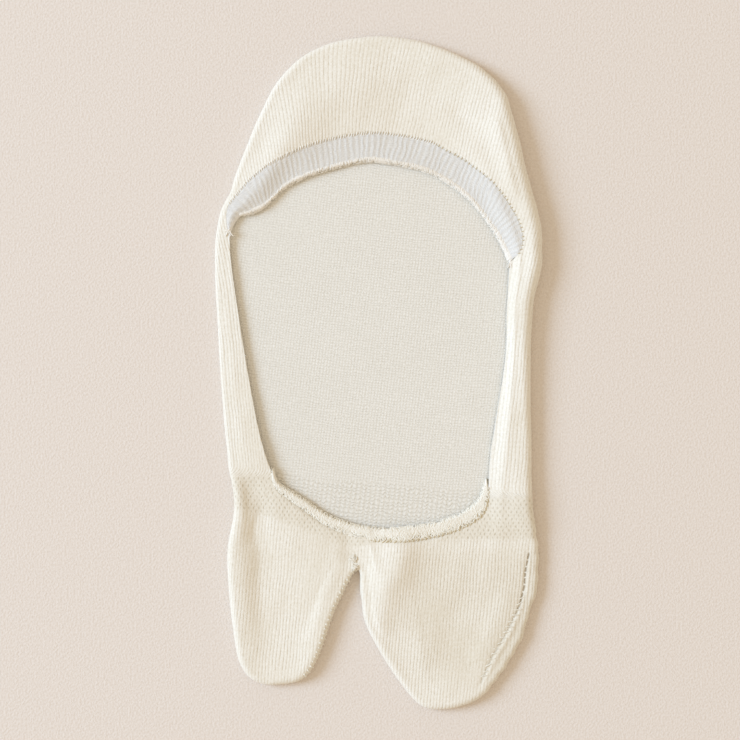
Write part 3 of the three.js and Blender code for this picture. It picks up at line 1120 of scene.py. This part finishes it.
# --------------------------------------------------------------------------------------------------- pieces
@dataclass
class Grain:
    """Which way the columns of stitches run, as fabric coordinates over the plan, in millimetres."""

    wale: float = 1.08
    toe_wale: float = 1.0
    course: float = 0.82
    heel_level: float = 80.0
    heel_from: float = 12.0
    heel_full: float = 42.0
    heel_fan: float = -0.26
    heel_middle: float = -15.0
    heel_spread: float = 22.0
    side_fan: float = -0.1
    toe_from: float = -35.0
    toe_slope: float = -0.09
    toe_blend: float = 9.0
    toe_lean: float = -0.09
    toe_level: float = -75.0
    toe_middle: float = -20.0
    side_spread: float = 12.0
    sole_wale: float = 0.92
    sole_lean: float = -0.13
    sole_rise: float = 0.11
    sole_bow: float = -0.0007
    reach: float = 110.0

    def top(self, xy: Array) -> Array:
        """Fabric coordinates of the top layer: wales that fan at the heel and lean a little at the toes.

        Args:
            xy: plan points.

        Returns:
            Wale and course counts.
        """
        x, y = xy[:, 0], xy[:, 1]
        line = np.linspace(-self.reach, self.reach, int(self.reach) * 4 + 1)
        heel = smooth((line - self.heel_from) / (self.heel_full - self.heel_from))
        step = line[1] - line[0]
        heel_run = np.cumsum(heel) * step
        side_run = np.cumsum(1 - heel) * step
        heel_run = np.interp(y, line, heel_run - np.interp(self.heel_level, line, heel_run))
        side_run = np.interp(y, line, side_run - np.interp(self.heel_level, line, side_run))
        fan = self.heel_fan * np.tanh((x - self.heel_middle) / self.heel_spread)
        upper = (x + fan * heel_run + self.side_fan * np.tanh(x / self.side_spread) * side_run) / self.wale
        lower = (x + self.toe_lean * (y - self.toe_level)) / self.toe_wale
        toe = smooth((self.toe_from + self.toe_slope * (x - self.toe_middle) - y) / self.toe_blend + 0.5)
        return np.stack([mix(upper, lower, toe), y / self.course], axis=1)

    def sole(self, xy: Array) -> Array:
        """Fabric coordinates of the sole, whose rows slope down a little to the right."""
        x, y = xy[:, 0], xy[:, 1]
        across = x + self.sole_lean * y
        along = y + self.sole_rise * x + self.sole_bow * x**2
        return np.stack([across / self.sole_wale, along / self.course], axis=1)


class BandEdge(NamedTuple):
    """One point of an edge of the mesh band, in plan millimetres."""

    x: float
    y: float


@dataclass
class MeshBand:
    """Where the knit turns to mesh: across the instep on top and under it on the sole, in millimetres."""

    top_upper: tuple[BandEdge, ...] = (BandEdge(-25.0, -31.5), BandEdge(30.0, -38.0))
    top_lower: tuple[BandEdge, ...] = (
        BandEdge(-45.0, -41.0), BandEdge(-30.0, -45.0), BandEdge(-8.0, -53.0), BandEdge(6.0, -51.5),
        BandEdge(47.0, -50.5),
    )
    sole_upper: tuple[BandEdge, ...] = (
        BandEdge(-35.0, -29.0), BandEdge(-17.0, -33.5), BandEdge(-5.0, -33.5), BandEdge(25.0, -36.0),
        BandEdge(35.0, -35.5),
    )
    sole_lower: tuple[BandEdge, ...] = (BandEdge(0.0, -56.0),)
    soft: float = 1.2

    def share(self, xy: Array, upper: Sequence[BandEdge], lower: Sequence[BandEdge]) -> Array:
        """How far plan points lie between two edges, from 0 to 1, level past the edges' ends."""
        high, low = (np.interp(xy[:, 0], *np.transpose(edge)) for edge in (upper, lower))
        return smooth((high - xy[:, 1]) / self.soft + 0.5) * smooth((xy[:, 1] - low) / self.soft + 0.5)

    def top(self, xy: Array) -> Array:
        """How far each point of the top layer is mesh, from 0 to 1."""
        return self.share(xy, self.top_upper, self.top_lower)

    def sole(self, xy: Array) -> Array:
        """How far each point of the sole is mesh, from 0 to 1."""
        return self.share(xy, self.sole_upper, self.sole_lower)


@dataclass
class Stretch:
    """Where the knit is stretched open over the four toes, in millimetres, with the softness of each edge."""

    left: float = 4.0
    left_soft: float = 12.0
    upper: float = -52.0
    upper_soft: float = 6.0
    tips: float = -100.0
    tips_soft: float = 16.0

    def share(self, xy: Array) -> Array:
        """How far the knit is stretched at plan points, from 0 to 1."""
        x, y = xy[:, 0], xy[:, 1]
        below = smooth((self.upper - y) / self.upper_soft)
        return smooth((x - self.left) / self.left_soft) * below * smooth((y - self.tips) / self.tips_soft)


@dataclass
class KnitBody:
    """The knitted shell: top layer, turned-over edge and sole, inside and out, in one closed piece."""

    form: SockForm
    shift: Array
    per_section: int = 10
    top_rings: int = 44
    fold_rings: int = 9
    sole_rings: int = 12
    lip_rings: int = 5
    lip_bulge: float = 0.42
    top_from: float = 1.1
    top_soft: float = 0.5
    seam_from: float = 1.6
    no_seam: float = 100.0
    grain: Grain = field(default_factory=Grain)
    band: MeshBand = field(default_factory=MeshBand)
    stretch: Stretch = field(default_factory=Stretch)

    def build(self) -> bpy.types.Object:
        """Make the shell and dress it.

        Returns:
            The piece.
        """
        count = self.per_section * len(self.form.sections)
        rays = self.form.rays(np.arange(count) / self.per_section)
        outer = self.face(rays, 0.0, outside=True)
        inner = self.face(rays, self.form.cloth, outside=False)
        lip = self.lip(rays, outer[-1], inner[-1])
        cloth = Cloth()
        rings = [*outer, *lip, *reversed(inner)]
        inner_first = len(outer) + len(lip)
        numbers = [cloth.add(ring.points) for ring in rings]
        for i in range(1, len(rings)):
            inside = i > inner_first
            before, after = rings[i - 1], rings[i]
            near, far = (before.fabric, after.after()) if inside else (before.after(), after.fabric)
            cloth.strip(numbers[i], numbers[i - 1], far, near, int(inside))
        self.patch(cloth, numbers[0], rings[0].points, False)
        self.patch(cloth, numbers[-1], rings[-1].points, True)
        made = cloth.object("knitted_shell", [Jersey().material(), Purl().material()])
        self.mark_band(made)
        return made

    def face(self, rays: Rays, depth: float, outside: bool) -> list[Ring]:
        """The rings of one face of the cloth: outward under the foot, over the fold and in to the mouth.

        Args:
            rays: the sections.
            depth: depth below the outside of the cloth.
            outside: whether this is the outside, which is knit face; not used.

        Returns:
            Rings in order.
        """
        form = self.form
        rings = []
        for step in range(self.sole_rings):
            xy = form.plan(rays, np.array(1 - step / self.sole_rings))
            fabric = self.grain.sole(xy)
            rings.append(Ring(self.lift(xy, np.full(len(xy), depth)), fabric))
        arc = math.pi / 2 * (rays.fold_depth + rays.edge / 2)
        for step in range(self.fold_rings + 1):
            turn = 1 - step / self.fold_rings
            angle = math.pi * (0.5 - turn)
            reach = (rays.fold_depth - depth) * math.cos(angle)
            z = rays.edge / 2 + (rays.edge / 2 - depth) * math.sin(angle)
            xy = rays.fold + rays.outward * reach[:, None]
            unrolled = self.grain.top(rays.fold + rays.outward * (arc * turn)[:, None])
            if step == 0:
                rings.append(Ring(self.lift(xy, z), self.grain.sole(xy), unrolled))
            else:
                rings.append(Ring(self.lift(xy, z), unrolled))
        last = form.share_at(rays, form.seam_width(rays))
        for step in range(1, self.top_rings + 1):
            share = last * step / self.top_rings
            xy = form.plan(rays, share)
            rings.append(Ring(self.lift(xy, form.top_height(rays, share) - depth), self.grain.top(xy)))
        return rings

    def lip(self, rays: Rays, upper: Ring, lower: Ring) -> list[Ring]:
        """Round the edge of the cloth at the mouth; along the elastic and hem it stays upright.

        Args:
            rays: the sections.
            upper: the outside's last ring.
            lower: the inside's last ring.

        Returns:
            The rings between them, bulging a little into the mouth.
        """
        ahead = upper.points - np.roll(upper.points, -1, axis=0)
        inward = unit(np.stack([-ahead[:, 1], ahead[:, 0], np.zeros(len(ahead))], axis=1))
        free = 1 - np.clip(np.maximum(rays.elastic, rays.hem) / self.form.narrowest, 0, 1)
        rings = []
        for step in range(1, self.lip_rings + 1):
            share = step / (self.lip_rings + 1)
            bulge = self.lip_bulge * math.sin(math.pi * share) * free
            points = mix(upper.points, lower.points, share) - inward * bulge[:, None]
            rings.append(Ring(points, upper.fabric))
        return rings

    def patch(self, cloth: Cloth, ring: Array, points: Array, inside: bool) -> None:
        """Close the sole below the mouth with a square grid blended in from the ring.

        Args:
            cloth: the mesh in the making.
            ring: point numbers of the ring.
            points: its points.
            inside: whether this is the inside of the cloth.
        """
        side = len(ring) // 4
        step = np.arange(side + 1)
        turns = (step, 3 * side - step, 4 * side - step, side + step)
        edges = [(len(ring) // 8 + turn) % len(ring) for turn in turns]
        low, high, left, right = (points[edge] for edge in edges)
        u, v = np.meshgrid(step / side, step / side)
        grid = (1 - v)[..., None] * low[None] + v[..., None] * high[None]
        grid = grid + (1 - u)[..., None] * left[:, None] + u[..., None] * right[:, None]
        for row, height in ((low, 1 - v), (high, v)):
            grid = grid - row[0] * ((1 - u) * height)[..., None] - row[-1] * (u * height)[..., None]
        numbers = np.zeros((side + 1, side + 1), int)
        numbers[1:-1, 1:-1] = cloth.add(grid[1:-1, 1:-1]).reshape(side - 1, side - 1)
        numbers[0, :], numbers[-1, :], numbers[:, 0], numbers[:, -1] = (ring[edge] for edge in edges)
        uv = self.grain.sole(grid[..., :2].reshape(-1, 2)).reshape(side + 1, side + 1, 2)
        if inside:
            cloth.grid(numbers[::-1], uv[::-1], 1)
        else:
            cloth.grid(numbers, uv, 0)

    def lift(self, xy: Array, z: Array) -> Array:
        """Join plan points and heights, moved to the frame's origin."""
        return np.column_stack([xy + self.shift, z])

    def mark_band(self, piece: bpy.types.Object) -> None:
        """Store where the knit is mesh, where it is stretched and where the linking seam runs.

        Args:
            piece: the shell.
        """
        mesh = piece.data
        co = np.zeros(len(mesh.vertices) * 3)
        mesh.vertices.foreach_get("co", co)
        co = co.reshape(-1, 3) / MM
        on_top = smooth((co[:, 2] - self.top_from) / self.top_soft)
        xy = co[:, :2] - self.shift
        share = on_top * self.band.top(xy) + (1 - on_top) * self.band.sole(xy)
        away, run = self.form.from_seam(xy)
        away = np.where(co[:, 2] > self.seam_from, away, self.no_seam)
        store(mesh, "mesh_band", share)
        store(mesh, "seam_away", away)
        store(mesh, "seam_run", run)
        store(mesh, "spread", self.stretch.share(xy))


class Side(Enum):
    """Which band of the mouth a piece belongs to."""

    ELASTIC = "elastic"
    HEM = "hem"


@dataclass
class MouthBand:
    """A band along the mouth's edge, the elastic or the front hem: round at the mouth, flush at its seam."""

    form: SockForm
    shift: Array
    side: Side
    name: str
    thick: float
    first: float
    last: float
    rounds: int
    pitch: float
    rib_height: float
    swell: float
    course: float
    taper: float = 2.0
    least_width: float = 0.7
    least_end: float = 0.03
    picot: float = 1.3
    round_share: float = 0.45
    fillet_share: float = 0.2
    fillet_steps: int = 5
    arc_steps: int = 8
    run_steps: int = 22
    fillet: float = 0.18

    def rays(self) -> tuple[Rays, Array, Array]:
        """The band's sections, its width at each and the length along it."""
        rays = self.form.rays(np.linspace(self.first, self.last, self.rounds))
        width = getattr(rays, self.side.value)
        middle = mix(rays.rim, self.form.plan(rays, self.form.share_at(rays, width)), 0.5)
        run = run_along(middle)
        ends = np.minimum(run, run[-1] - run)
        tapered = np.sqrt(np.clip(ends / self.taper, self.least_end, 1))
        return rays, np.maximum(width, self.least_width) * tapered, run

    def profile(self, width: Array) -> list[tuple[Array, Array, float]]:
        """The band's section, as a loop from under the mouth's edge, over the top and back.

        Args:
            width: width of the band at each of its sections.

        Returns:
            For each point: distance from the mouth's edge, height over the cloth's middle, and how far it is
            on the top of the band, from 0 to 1.
        """
        half, cloth = self.thick / 2, self.form.cloth / 2
        round_in = np.minimum(half, self.round_share * width)
        fillet = np.minimum(self.fillet, self.fillet_share * width)
        loop = []
        for a in np.linspace(-math.pi / 2, math.pi / 2, self.arc_steps):
            loop.append((round_in * (1 - math.cos(a)), np.full(len(width), half * math.sin(a)), 0.0))
        for t in np.linspace(0, 1, self.run_steps + 1)[1:-1]:
            bow = math.sin(math.pi * t)
            lift = mix(half, cloth, float(smooth(np.array(t)))) + self.swell * bow
            loop.append((mix(round_in, width - fillet, t), np.full(len(width), lift), bow**0.3))
        for a in np.linspace(math.pi / 2, -math.pi / 2, self.fillet_steps):
            loop.append((width - fillet * (1 - math.cos(a)), np.full(len(width), cloth * math.sin(a)), 0.0))
        for t in np.linspace(1, 0, self.run_steps // 2 + 1)[1:-1]:
            lift = mix(half, cloth, float(smooth(np.array(t))))
            loop.append((mix(round_in, width - fillet, t), np.full(len(width), -lift), 0.0))
        return loop

    def build(self, material: bpy.types.Material) -> bpy.types.Object:
        """Make the band.

        Args:
            material: its finish.

        Returns:
            The piece.
        """
        rays, width, run = self.rays()
        cloth = Cloth()
        rows, fabrics, edge = [], [], []
        around = np.zeros(len(width))
        before = None
        for away, lift, top in self.profile(width):
            share = self.form.share_at(rays, away)
            xy = self.form.plan(rays, share)
            rib = self.rib_height * np.cos(2 * math.pi * run / self.pitch) * top
            z = self.form.top_height(rays, share) - self.form.cloth / 2 + lift + rib
            point = np.column_stack([xy + self.shift, z])
            if before is not None:
                around = around + np.linalg.norm(point - before, axis=1)
            before = point
            rows.append(cloth.add(point))
            fabrics.append(np.column_stack([run / self.pitch, around / self.course]))
            edge.append(1 - smooth(away / self.picot))
        for i in range(1, len(rows)):
            cloth.strip(rows[i], rows[i - 1], fabrics[i], fabrics[i - 1], 0, closed=False)
        cloth.strip(rows[0], rows[-1], fabrics[0], fabrics[-1], 0, closed=False)
        self.close(cloth, rows, fabrics)
        made = cloth.object(self.name, [material])
        picot = np.concatenate(edge)
        store(made.data, "picot", np.pad(picot, (0, len(made.data.vertices) - len(picot))))
        return made

    def close(self, cloth: Cloth, rows: list[Array], fabrics: list[Array]) -> None:
        """Cap both ends of the band with a fan of triangles.

        Args:
            cloth: the mesh in the making.
            rows: point numbers along the band, a row for each point of its section.
            fabrics: their fabric coordinates.
        """
        points = np.concatenate(cloth.points)
        for end, order in ((0, 1), (-1, -1)):
            loop = np.array([row[end] for row in rows])[::order]
            uv = np.array([fabric[end] for fabric in fabrics])[::order]
            centre = cloth.add(points[loop].mean(axis=0))[0]
            for i in range(len(loop)):
                j = (i + 1) % len(loop)
                cloth.fans.append(((centre, loop[j], loop[i]), (uv[i], uv[j], uv[i])))


class ThreadEnd(NamedTuple):
    """Where a tuft of thread ends stands, in plan millimetres, and its heading in degrees."""

    x: float
    y: float
    heading: float


CLEFT_KNOTS: tuple[ThreadEnd, ...] = (ThreadEnd(-7.2, -57.6, 100.0), ThreadEnd(-6.6, -59.2, 170.0))
ELASTIC_ENDS: tuple[ThreadEnd, ...] = (ThreadEnd(-45.6, 43.6, 250.0), ThreadEnd(40.0, 33.9, 260.0))


@dataclass
class SeamThreads:
    """Short threads along the sewn edges: over each band and its seam, down the cleft and at seam ends."""

    form: SockForm
    shift: Array
    seed: int = 7
    fine_steps: int = 1200
    tuft_ends: int = 9
    sink: float = 0.55
    loop_short: float = 1.1
    loop_more: float = 1.0
    loop_turn: float = 110.0
    loop_curl: float = 0.6
    edge_round: float = 0.85
    edge_flat: float = 0.7
    end_short: float = 0.9
    end_more: float = 0.6

    def spaced(self, first: float, last: float, spacing: float, band: Side) -> tuple[Rays, Array]:
        """Sections evenly spaced along a stretch of a band's seam.

        Args:
            first: place of the first one.
            last: place of the last one.
            spacing: distance between them.
            band: which band's seam is followed.

        Returns:
            The sections, and the band's width at each.
        """
        fine = self.form.rays(np.linspace(first, last, self.fine_steps))
        run = run_along(self.form.plan(fine, self.form.share_at(fine, getattr(fine, band.value))))
        rays = self.form.rays(np.interp(np.arange(spacing / 2, run[-1], spacing), run, fine.place))
        return rays, getattr(rays, band.value)

    def over_seam(self, name: str, band: Side, first: float, last: float, spacing: float, reach: float,
                  thick: float, lean: float, material: bpy.types.Material) -> bpy.types.Object:
        """Threads that cross a band's seam and sink into the knit on both sides.

        Args:
            name: the piece's name.
            band: which band's seam is followed.
            first: place where they start.
            last: place where they end.
            spacing: distance between threads.
            reach: how far they reach on to the shell.
            thick: the thread's radius.
            lean: how far a thread leans along the seam, in sections of the sock.
            material: the thread's finish.

        Returns:
            The piece.
        """
        draw = np.random.default_rng(self.seed)
        rays, widths = self.spaced(first, last, spacing, band)
        steps = np.linspace(0, 1, 7)
        paths = []
        for place, width in zip(rays.place, widths):
            wander = draw.uniform(-1, 1, 4)
            ray = self.form.rays(place + lean * (steps - 0.5) + 0.02 * wander[0])
            away = width + mix(-self.sink, reach, steps) + 0.12 * wander[1]
            share = self.form.share_at(ray, away)
            lift = (0.26 + 0.06 * wander[2]) * np.sin(math.pi * steps) ** 0.7 - 0.1
            xy = self.form.plan(ray, share) + self.shift
            path = np.column_stack([xy, self.form.top_height(ray, share) + lift])
            paths.append((path, thick * (1 + 0.2 * wander[3])))
        return thread_object(name, paths, material)

    def fluff(self, name: str, band: Side, first: float, last: float, count: int, reach: float, crest: float,
              thick: float, material: bpy.types.Material) -> bpy.types.Object:
        """Short curled yarn loops over a band, as on a brushed overlock.

        Args:
            name: the piece's name.
            band: which band they lie on.
            first: place where they start.
            last: place where they end.
            count: how many loops.
            reach: how far from the mouth's edge they reach, up to the band's own width.
            crest: how far the loops stand over the cloth.
            thick: the yarn's radius.
            material: the yarn's finish.

        Returns:
            The piece.
        """
        draw = np.random.default_rng(self.seed + 3)
        steps = np.linspace(0, 1, 7)
        paths = []
        for _ in range(count):
            place, across, turn, bend, size = draw.uniform(0, 1, 5)
            place = first + (last - first) * place
            middle = self.form.rays(np.array([place]))
            width = min(reach, float(getattr(middle, band.value)[0]))
            heading = math.radians(90 + self.loop_turn * (turn - 0.5))
            length = self.loop_short + self.loop_more * size
            curl = self.loop_curl * (bend - 0.5) * np.sin(math.pi * steps) * length
            aside = (steps - 0.5) * length * math.cos(heading) + curl
            at = (width + 0.5) * across - 0.25
            away = np.clip(at + (steps - 0.5) * length * math.sin(heading), -0.4, width + 0.35)
            span = np.linalg.norm(self.form.rays(np.array([place + 0.05])).rim - middle.rim) / 0.05
            ray = self.form.rays(place + aside / max(span, 1.0))
            share = self.form.share_at(ray, np.maximum(away, 0.0))
            xy = self.form.plan(ray, share)
            xy = xy + unit(ray.rim - ray.turn) * np.maximum(-away, 0.0)[:, None]
            past = np.clip(self.edge_flat - away, 0, self.edge_round)
            round_off = self.edge_round - np.sqrt(self.edge_round**2 - past**2)
            outer = np.clip((away - width + 0.5) / 0.9, 0, 1)
            lift = crest * (1 - outer) - round_off + 0.12 * np.sin(math.pi * steps)
            z = self.form.top_height(ray, share) + lift
            paths.append((np.column_stack([xy + self.shift, z]), thick * (0.75 + 0.6 * bend)))
        return thread_object(name, paths, material)

    def tuft(self, name: str, ends: Sequence[ThreadEnd], thick: float,
             material: bpy.types.Material) -> bpy.types.Object:
        """Cut thread ends that stand out where a seam starts or stops.

        Args:
            name: the piece's name.
            ends: where each tuft stands.
            thick: the thread's radius.
            material: the thread's finish.

        Returns:
            The piece.
        """
        draw = np.random.default_rng(self.seed + 5)
        steps = np.linspace(0, 1, 6)
        paths = []
        for x, y, heading in ends:
            for _ in range(self.tuft_ends):
                spread, bend, length, off_x, off_y = draw.uniform(-1, 1, 5)
                angle = math.radians(heading + 50 * spread) + 0.7 * bend * steps
                run = (self.end_short + self.end_more * (1 + length)) * steps
                xy = np.array([x + 0.4 * off_x, y + 0.4 * off_y])
                xy = xy + run[:, None] * np.column_stack([np.cos(angle), np.sin(angle)])
                z = self.form.surface(np.array([[x, y]])) + 0.25 * np.sin(math.pi * steps) + 0.12
                paths.append((np.column_stack([xy + self.shift, z]), thick * (1 + 0.25 * bend)))
        return thread_object(name, paths, material)

    def along_seam(self, name: str, first: float, last: float, spacing: float, thick: float,
                   material: bpy.types.Material) -> bpy.types.Object:
        """Slanted stitches across the lower part of the four-toe pocket's linking seam.

        Args:
            name: the piece's name.
            first: run along the seam where they start.
            last: run along the seam where they end.
            spacing: distance between stitches.
            thick: the thread's radius.
            material: the thread's finish.

        Returns:
            The piece.
        """
        draw = np.random.default_rng(self.seed + 4)
        line = np.array(LINKING_SEAM)
        run = run_along(line)
        steps = np.linspace(-1, 1, 6)
        paths = []
        for stop in np.arange(first, last, spacing):
            wander = draw.uniform(-1, 1, 4)
            middle, ahead = (
                np.array([np.interp(at, run, row) for row in line.T]) for at in (stop, stop + 0.5)
            )
            along = unit(ahead - middle)
            across = np.array([-along[1], along[0]])
            slant = across * (0.85 + 0.25 * wander[0]) - along * (0.55 + 0.2 * wander[1])
            xy = middle + steps[:, None] * slant + along * 0.25 * wander[2]
            z = self.form.surface(xy) + 0.16 * (1 - steps**2) - 0.05
            paths.append((np.column_stack([xy + self.shift, z]), thick * (1 + 0.25 * wander[3])))
        return thread_object(name, paths, material)

    def down_cleft(self, name: str, first: float, last: float, spacing: float, thick: float,
                   material: bpy.types.Material) -> bpy.types.Object:
        """Knots of the linking stitch along the fold at the big toe's side of the cleft.

        Args:
            name: the piece's name.
            first: place where they start.
            last: place where they end.
            spacing: distance between knots.
            thick: the thread's radius.
            material: the thread's finish.

        Returns:
            The piece.
        """
        draw = np.random.default_rng(self.seed + 2)
        fine = self.form.rays(np.linspace(first, last, self.fine_steps))
        run = run_along(fine.fold)
        steps = np.linspace(-1, 1, 6)
        paths = []
        for stop in np.arange(spacing / 2, run[-1], spacing):
            wander = draw.uniform(-1, 1, 3)
            ray = self.form.rays(np.interp([stop], run, fine.place))
            angle = np.linspace(-0.35, 1.15, 6) + 0.1 * wander[0]
            reach = ray.fold_depth * np.cos(angle) + 0.02
            z = ray.edge / 2 * (1 + np.sin(angle)) + 0.02
            along = np.array([-ray.outward[0, 1], ray.outward[0, 0]]) * 0.35 * (0.5 + 0.3 * wander[1])
            xy = ray.fold + ray.outward * reach[:, None] + along * steps[:, None]
            paths.append((np.column_stack([xy + self.shift, z]), thick * (1 + 0.25 * wander[2])))
        return thread_object(name, paths, material)


@dataclass
class Studio:
    """A plain pale floor, one large soft light low on the left, and the camera straight above."""

    view_width: float = 226.7 * MM
    view_x: float = -2.6 * MM
    view_y: float = 0.8 * MM
    lens: float = 100.0
    film: float = 36.0
    light_away: float = 3.5
    light_size: float = 1.75
    light_height: float = 32.0
    light_turn: float = 169.0
    light_power: float = 112.0
    light_colour: tuple[float, float, float] = (0.54, 0.73, 1.0)
    fill: float = 0.745
    fill_colour: Rgba = (1.0, 0.865, 0.70, 1.0)
    floor_reach: float = 1.5

    def build(self) -> None:
        """Make the floor, lights and camera."""
        self.floor()
        self.key()
        self.world()
        self.camera()

    def floor(self) -> None:
        """Lay a plain pale surface under the sock."""
        mesh = bpy.data.meshes.new("floor")
        reach = self.floor_reach
        corners = [(-reach, -reach, 0), (reach, -reach, 0), (reach, reach, 0), (-reach, reach, 0)]
        mesh.from_pydata(corners, [], [(0, 1, 2, 3)])
        mesh.materials.append(Surface().material())
        add_object("floor", mesh)

    def key(self) -> None:
        """Hang the soft key light."""
        light = bpy.data.lights.new("key_light", "AREA")
        light.shape = "DISK"
        light.size = self.light_size
        light.energy = self.light_power
        light.color = self.light_colour
        made = add_object("key_light", light)
        height, turn = math.radians(self.light_height), math.radians(self.light_turn)
        level = math.cos(height)
        toward = Vector((level * math.cos(turn), level * math.sin(turn), math.sin(height)))
        made.location = toward * self.light_away
        made.rotation_euler = toward.to_track_quat("Z", "Y").to_euler()

    def world(self) -> None:
        """Fill the shadows with a warm even light."""
        world = bpy.data.worlds.new("fill_light")
        world.use_nodes = True
        ground = world.node_tree.nodes["Background"]
        ground.inputs[0].default_value = self.fill_colour
        ground.inputs[1].default_value = self.fill
        bpy.context.scene.world = world

    def camera(self) -> None:
        """Look straight down, toes towards the lower edge."""
        lens = bpy.data.cameras.new("camera")
        lens.lens = self.lens
        lens.sensor_width = self.film
        made = add_object("camera", lens)
        made.location = (self.view_x, self.view_y, self.view_width * self.lens / self.film)
        bpy.context.scene.camera = made
        bpy.context.scene.view_settings.view_transform = "Standard"


def origin_shift(form: SockForm) -> Array:
    """How far the plan moves so that the sock's middle comes to the middle of its solid, in millimetres."""
    low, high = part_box("knit_body")
    outline = form.rays(np.arange(0, len(SECTIONS), 0.05))
    edge = outline.fold + outline.outward * outline.fold_depth[:, None]
    middle = np.array([low.x + high.x, low.y + high.y]) / 2 / MM
    return middle - (edge.min(axis=0) + edge.max(axis=0)) / 2


def main() -> None:
    """Build the sock around its solids, piece by piece, then the studio."""
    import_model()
    form = SockForm()
    shift = origin_shift(form)

    body = KnitBody(form, shift).build()
    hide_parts("knit_body")
    elastic = MouthBand(
        form, shift, Side.ELASTIC, "heel_elastic_band", thick=1.5, first=-6.97, last=9.85, rounds=820,
        pitch=1.62, rib_height=0.03, swell=0.06, course=0.62,
    ).build(Rib().material())
    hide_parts("heel_elastic")
    hem = MouthBand(
        form, shift, Side.HEM, "front_hem_welt", thick=1.7, first=13.7, last=31.1, rounds=460,
        pitch=1.15, rib_height=0.03, swell=0.15, course=0.8,
    ).build(HEM_KNIT.material())
    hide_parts("front_hem")

    white, ivory, cream, tan_shade = (
        yarn.material() for yarn in (OVERLOCK_YARN, HEM_YARN, LINKING_YARN, TAN_SHADE_YARN)
    )
    threads = SeamThreads(form, shift)
    knit_threads = [
        # tan threads: real stitches coloured with the painted shade of the seam's gaps
        threads.over_seam("elastic_seam_right", Side.ELASTIC, first=2.4, last=9.4, spacing=1.35, reach=0.35,
                          thick=0.1, lean=0.03, material=tan_shade),
        threads.down_cleft("cleft_linking", first=23.9, last=26.2, spacing=1.5, thick=0.3, material=cream),
        threads.along_seam("toe_linking", first=15.0, last=43.0, spacing=1.9, thick=0.2, material=cream),
        threads.tuft("cleft_knots", CLEFT_KNOTS, thick=0.16, material=cream),
    ]
    rib_threads = [
        threads.over_seam("elastic_seam_left", Side.ELASTIC, first=-5.6, last=2.4, spacing=0.8, reach=0.4,
                          thick=0.15, lean=0.03, material=white),
        threads.fluff("elastic_overlock", Side.ELASTIC, first=-5.7, last=9.5, count=900, reach=0.9,
                      crest=0.24, thick=0.13, material=white),
        threads.tuft("elastic_ends", ELASTIC_ENDS, thick=0.15, material=white),
    ]
    hem_threads = [
        # tan threads: real stitches coloured with the painted shade of the seam's gaps
        threads.over_seam("hem_seam_right", Side.HEM, first=14.2, last=23.4, spacing=1.3, reach=0.8,
                          thick=0.2, lean=0.2, material=tan_shade),
        threads.fluff("hem_fluff", Side.HEM, first=13.9, last=30.9, count=1300, reach=3.6, crest=0.18,
                      thick=0.15, material=ivory),
    ]
    sets = {"knit": [body, *knit_threads], "rib": [elastic, *rib_threads], "hem": [hem, *hem_threads]}
    for slot, pieces in sets.items():
        for piece in pieces:
            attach(piece, "root")
            LOG.info("%s: %d faces", piece.name, len(piece.data.polygons))

    Studio().build()


if __name__ == "__main__":
    main()
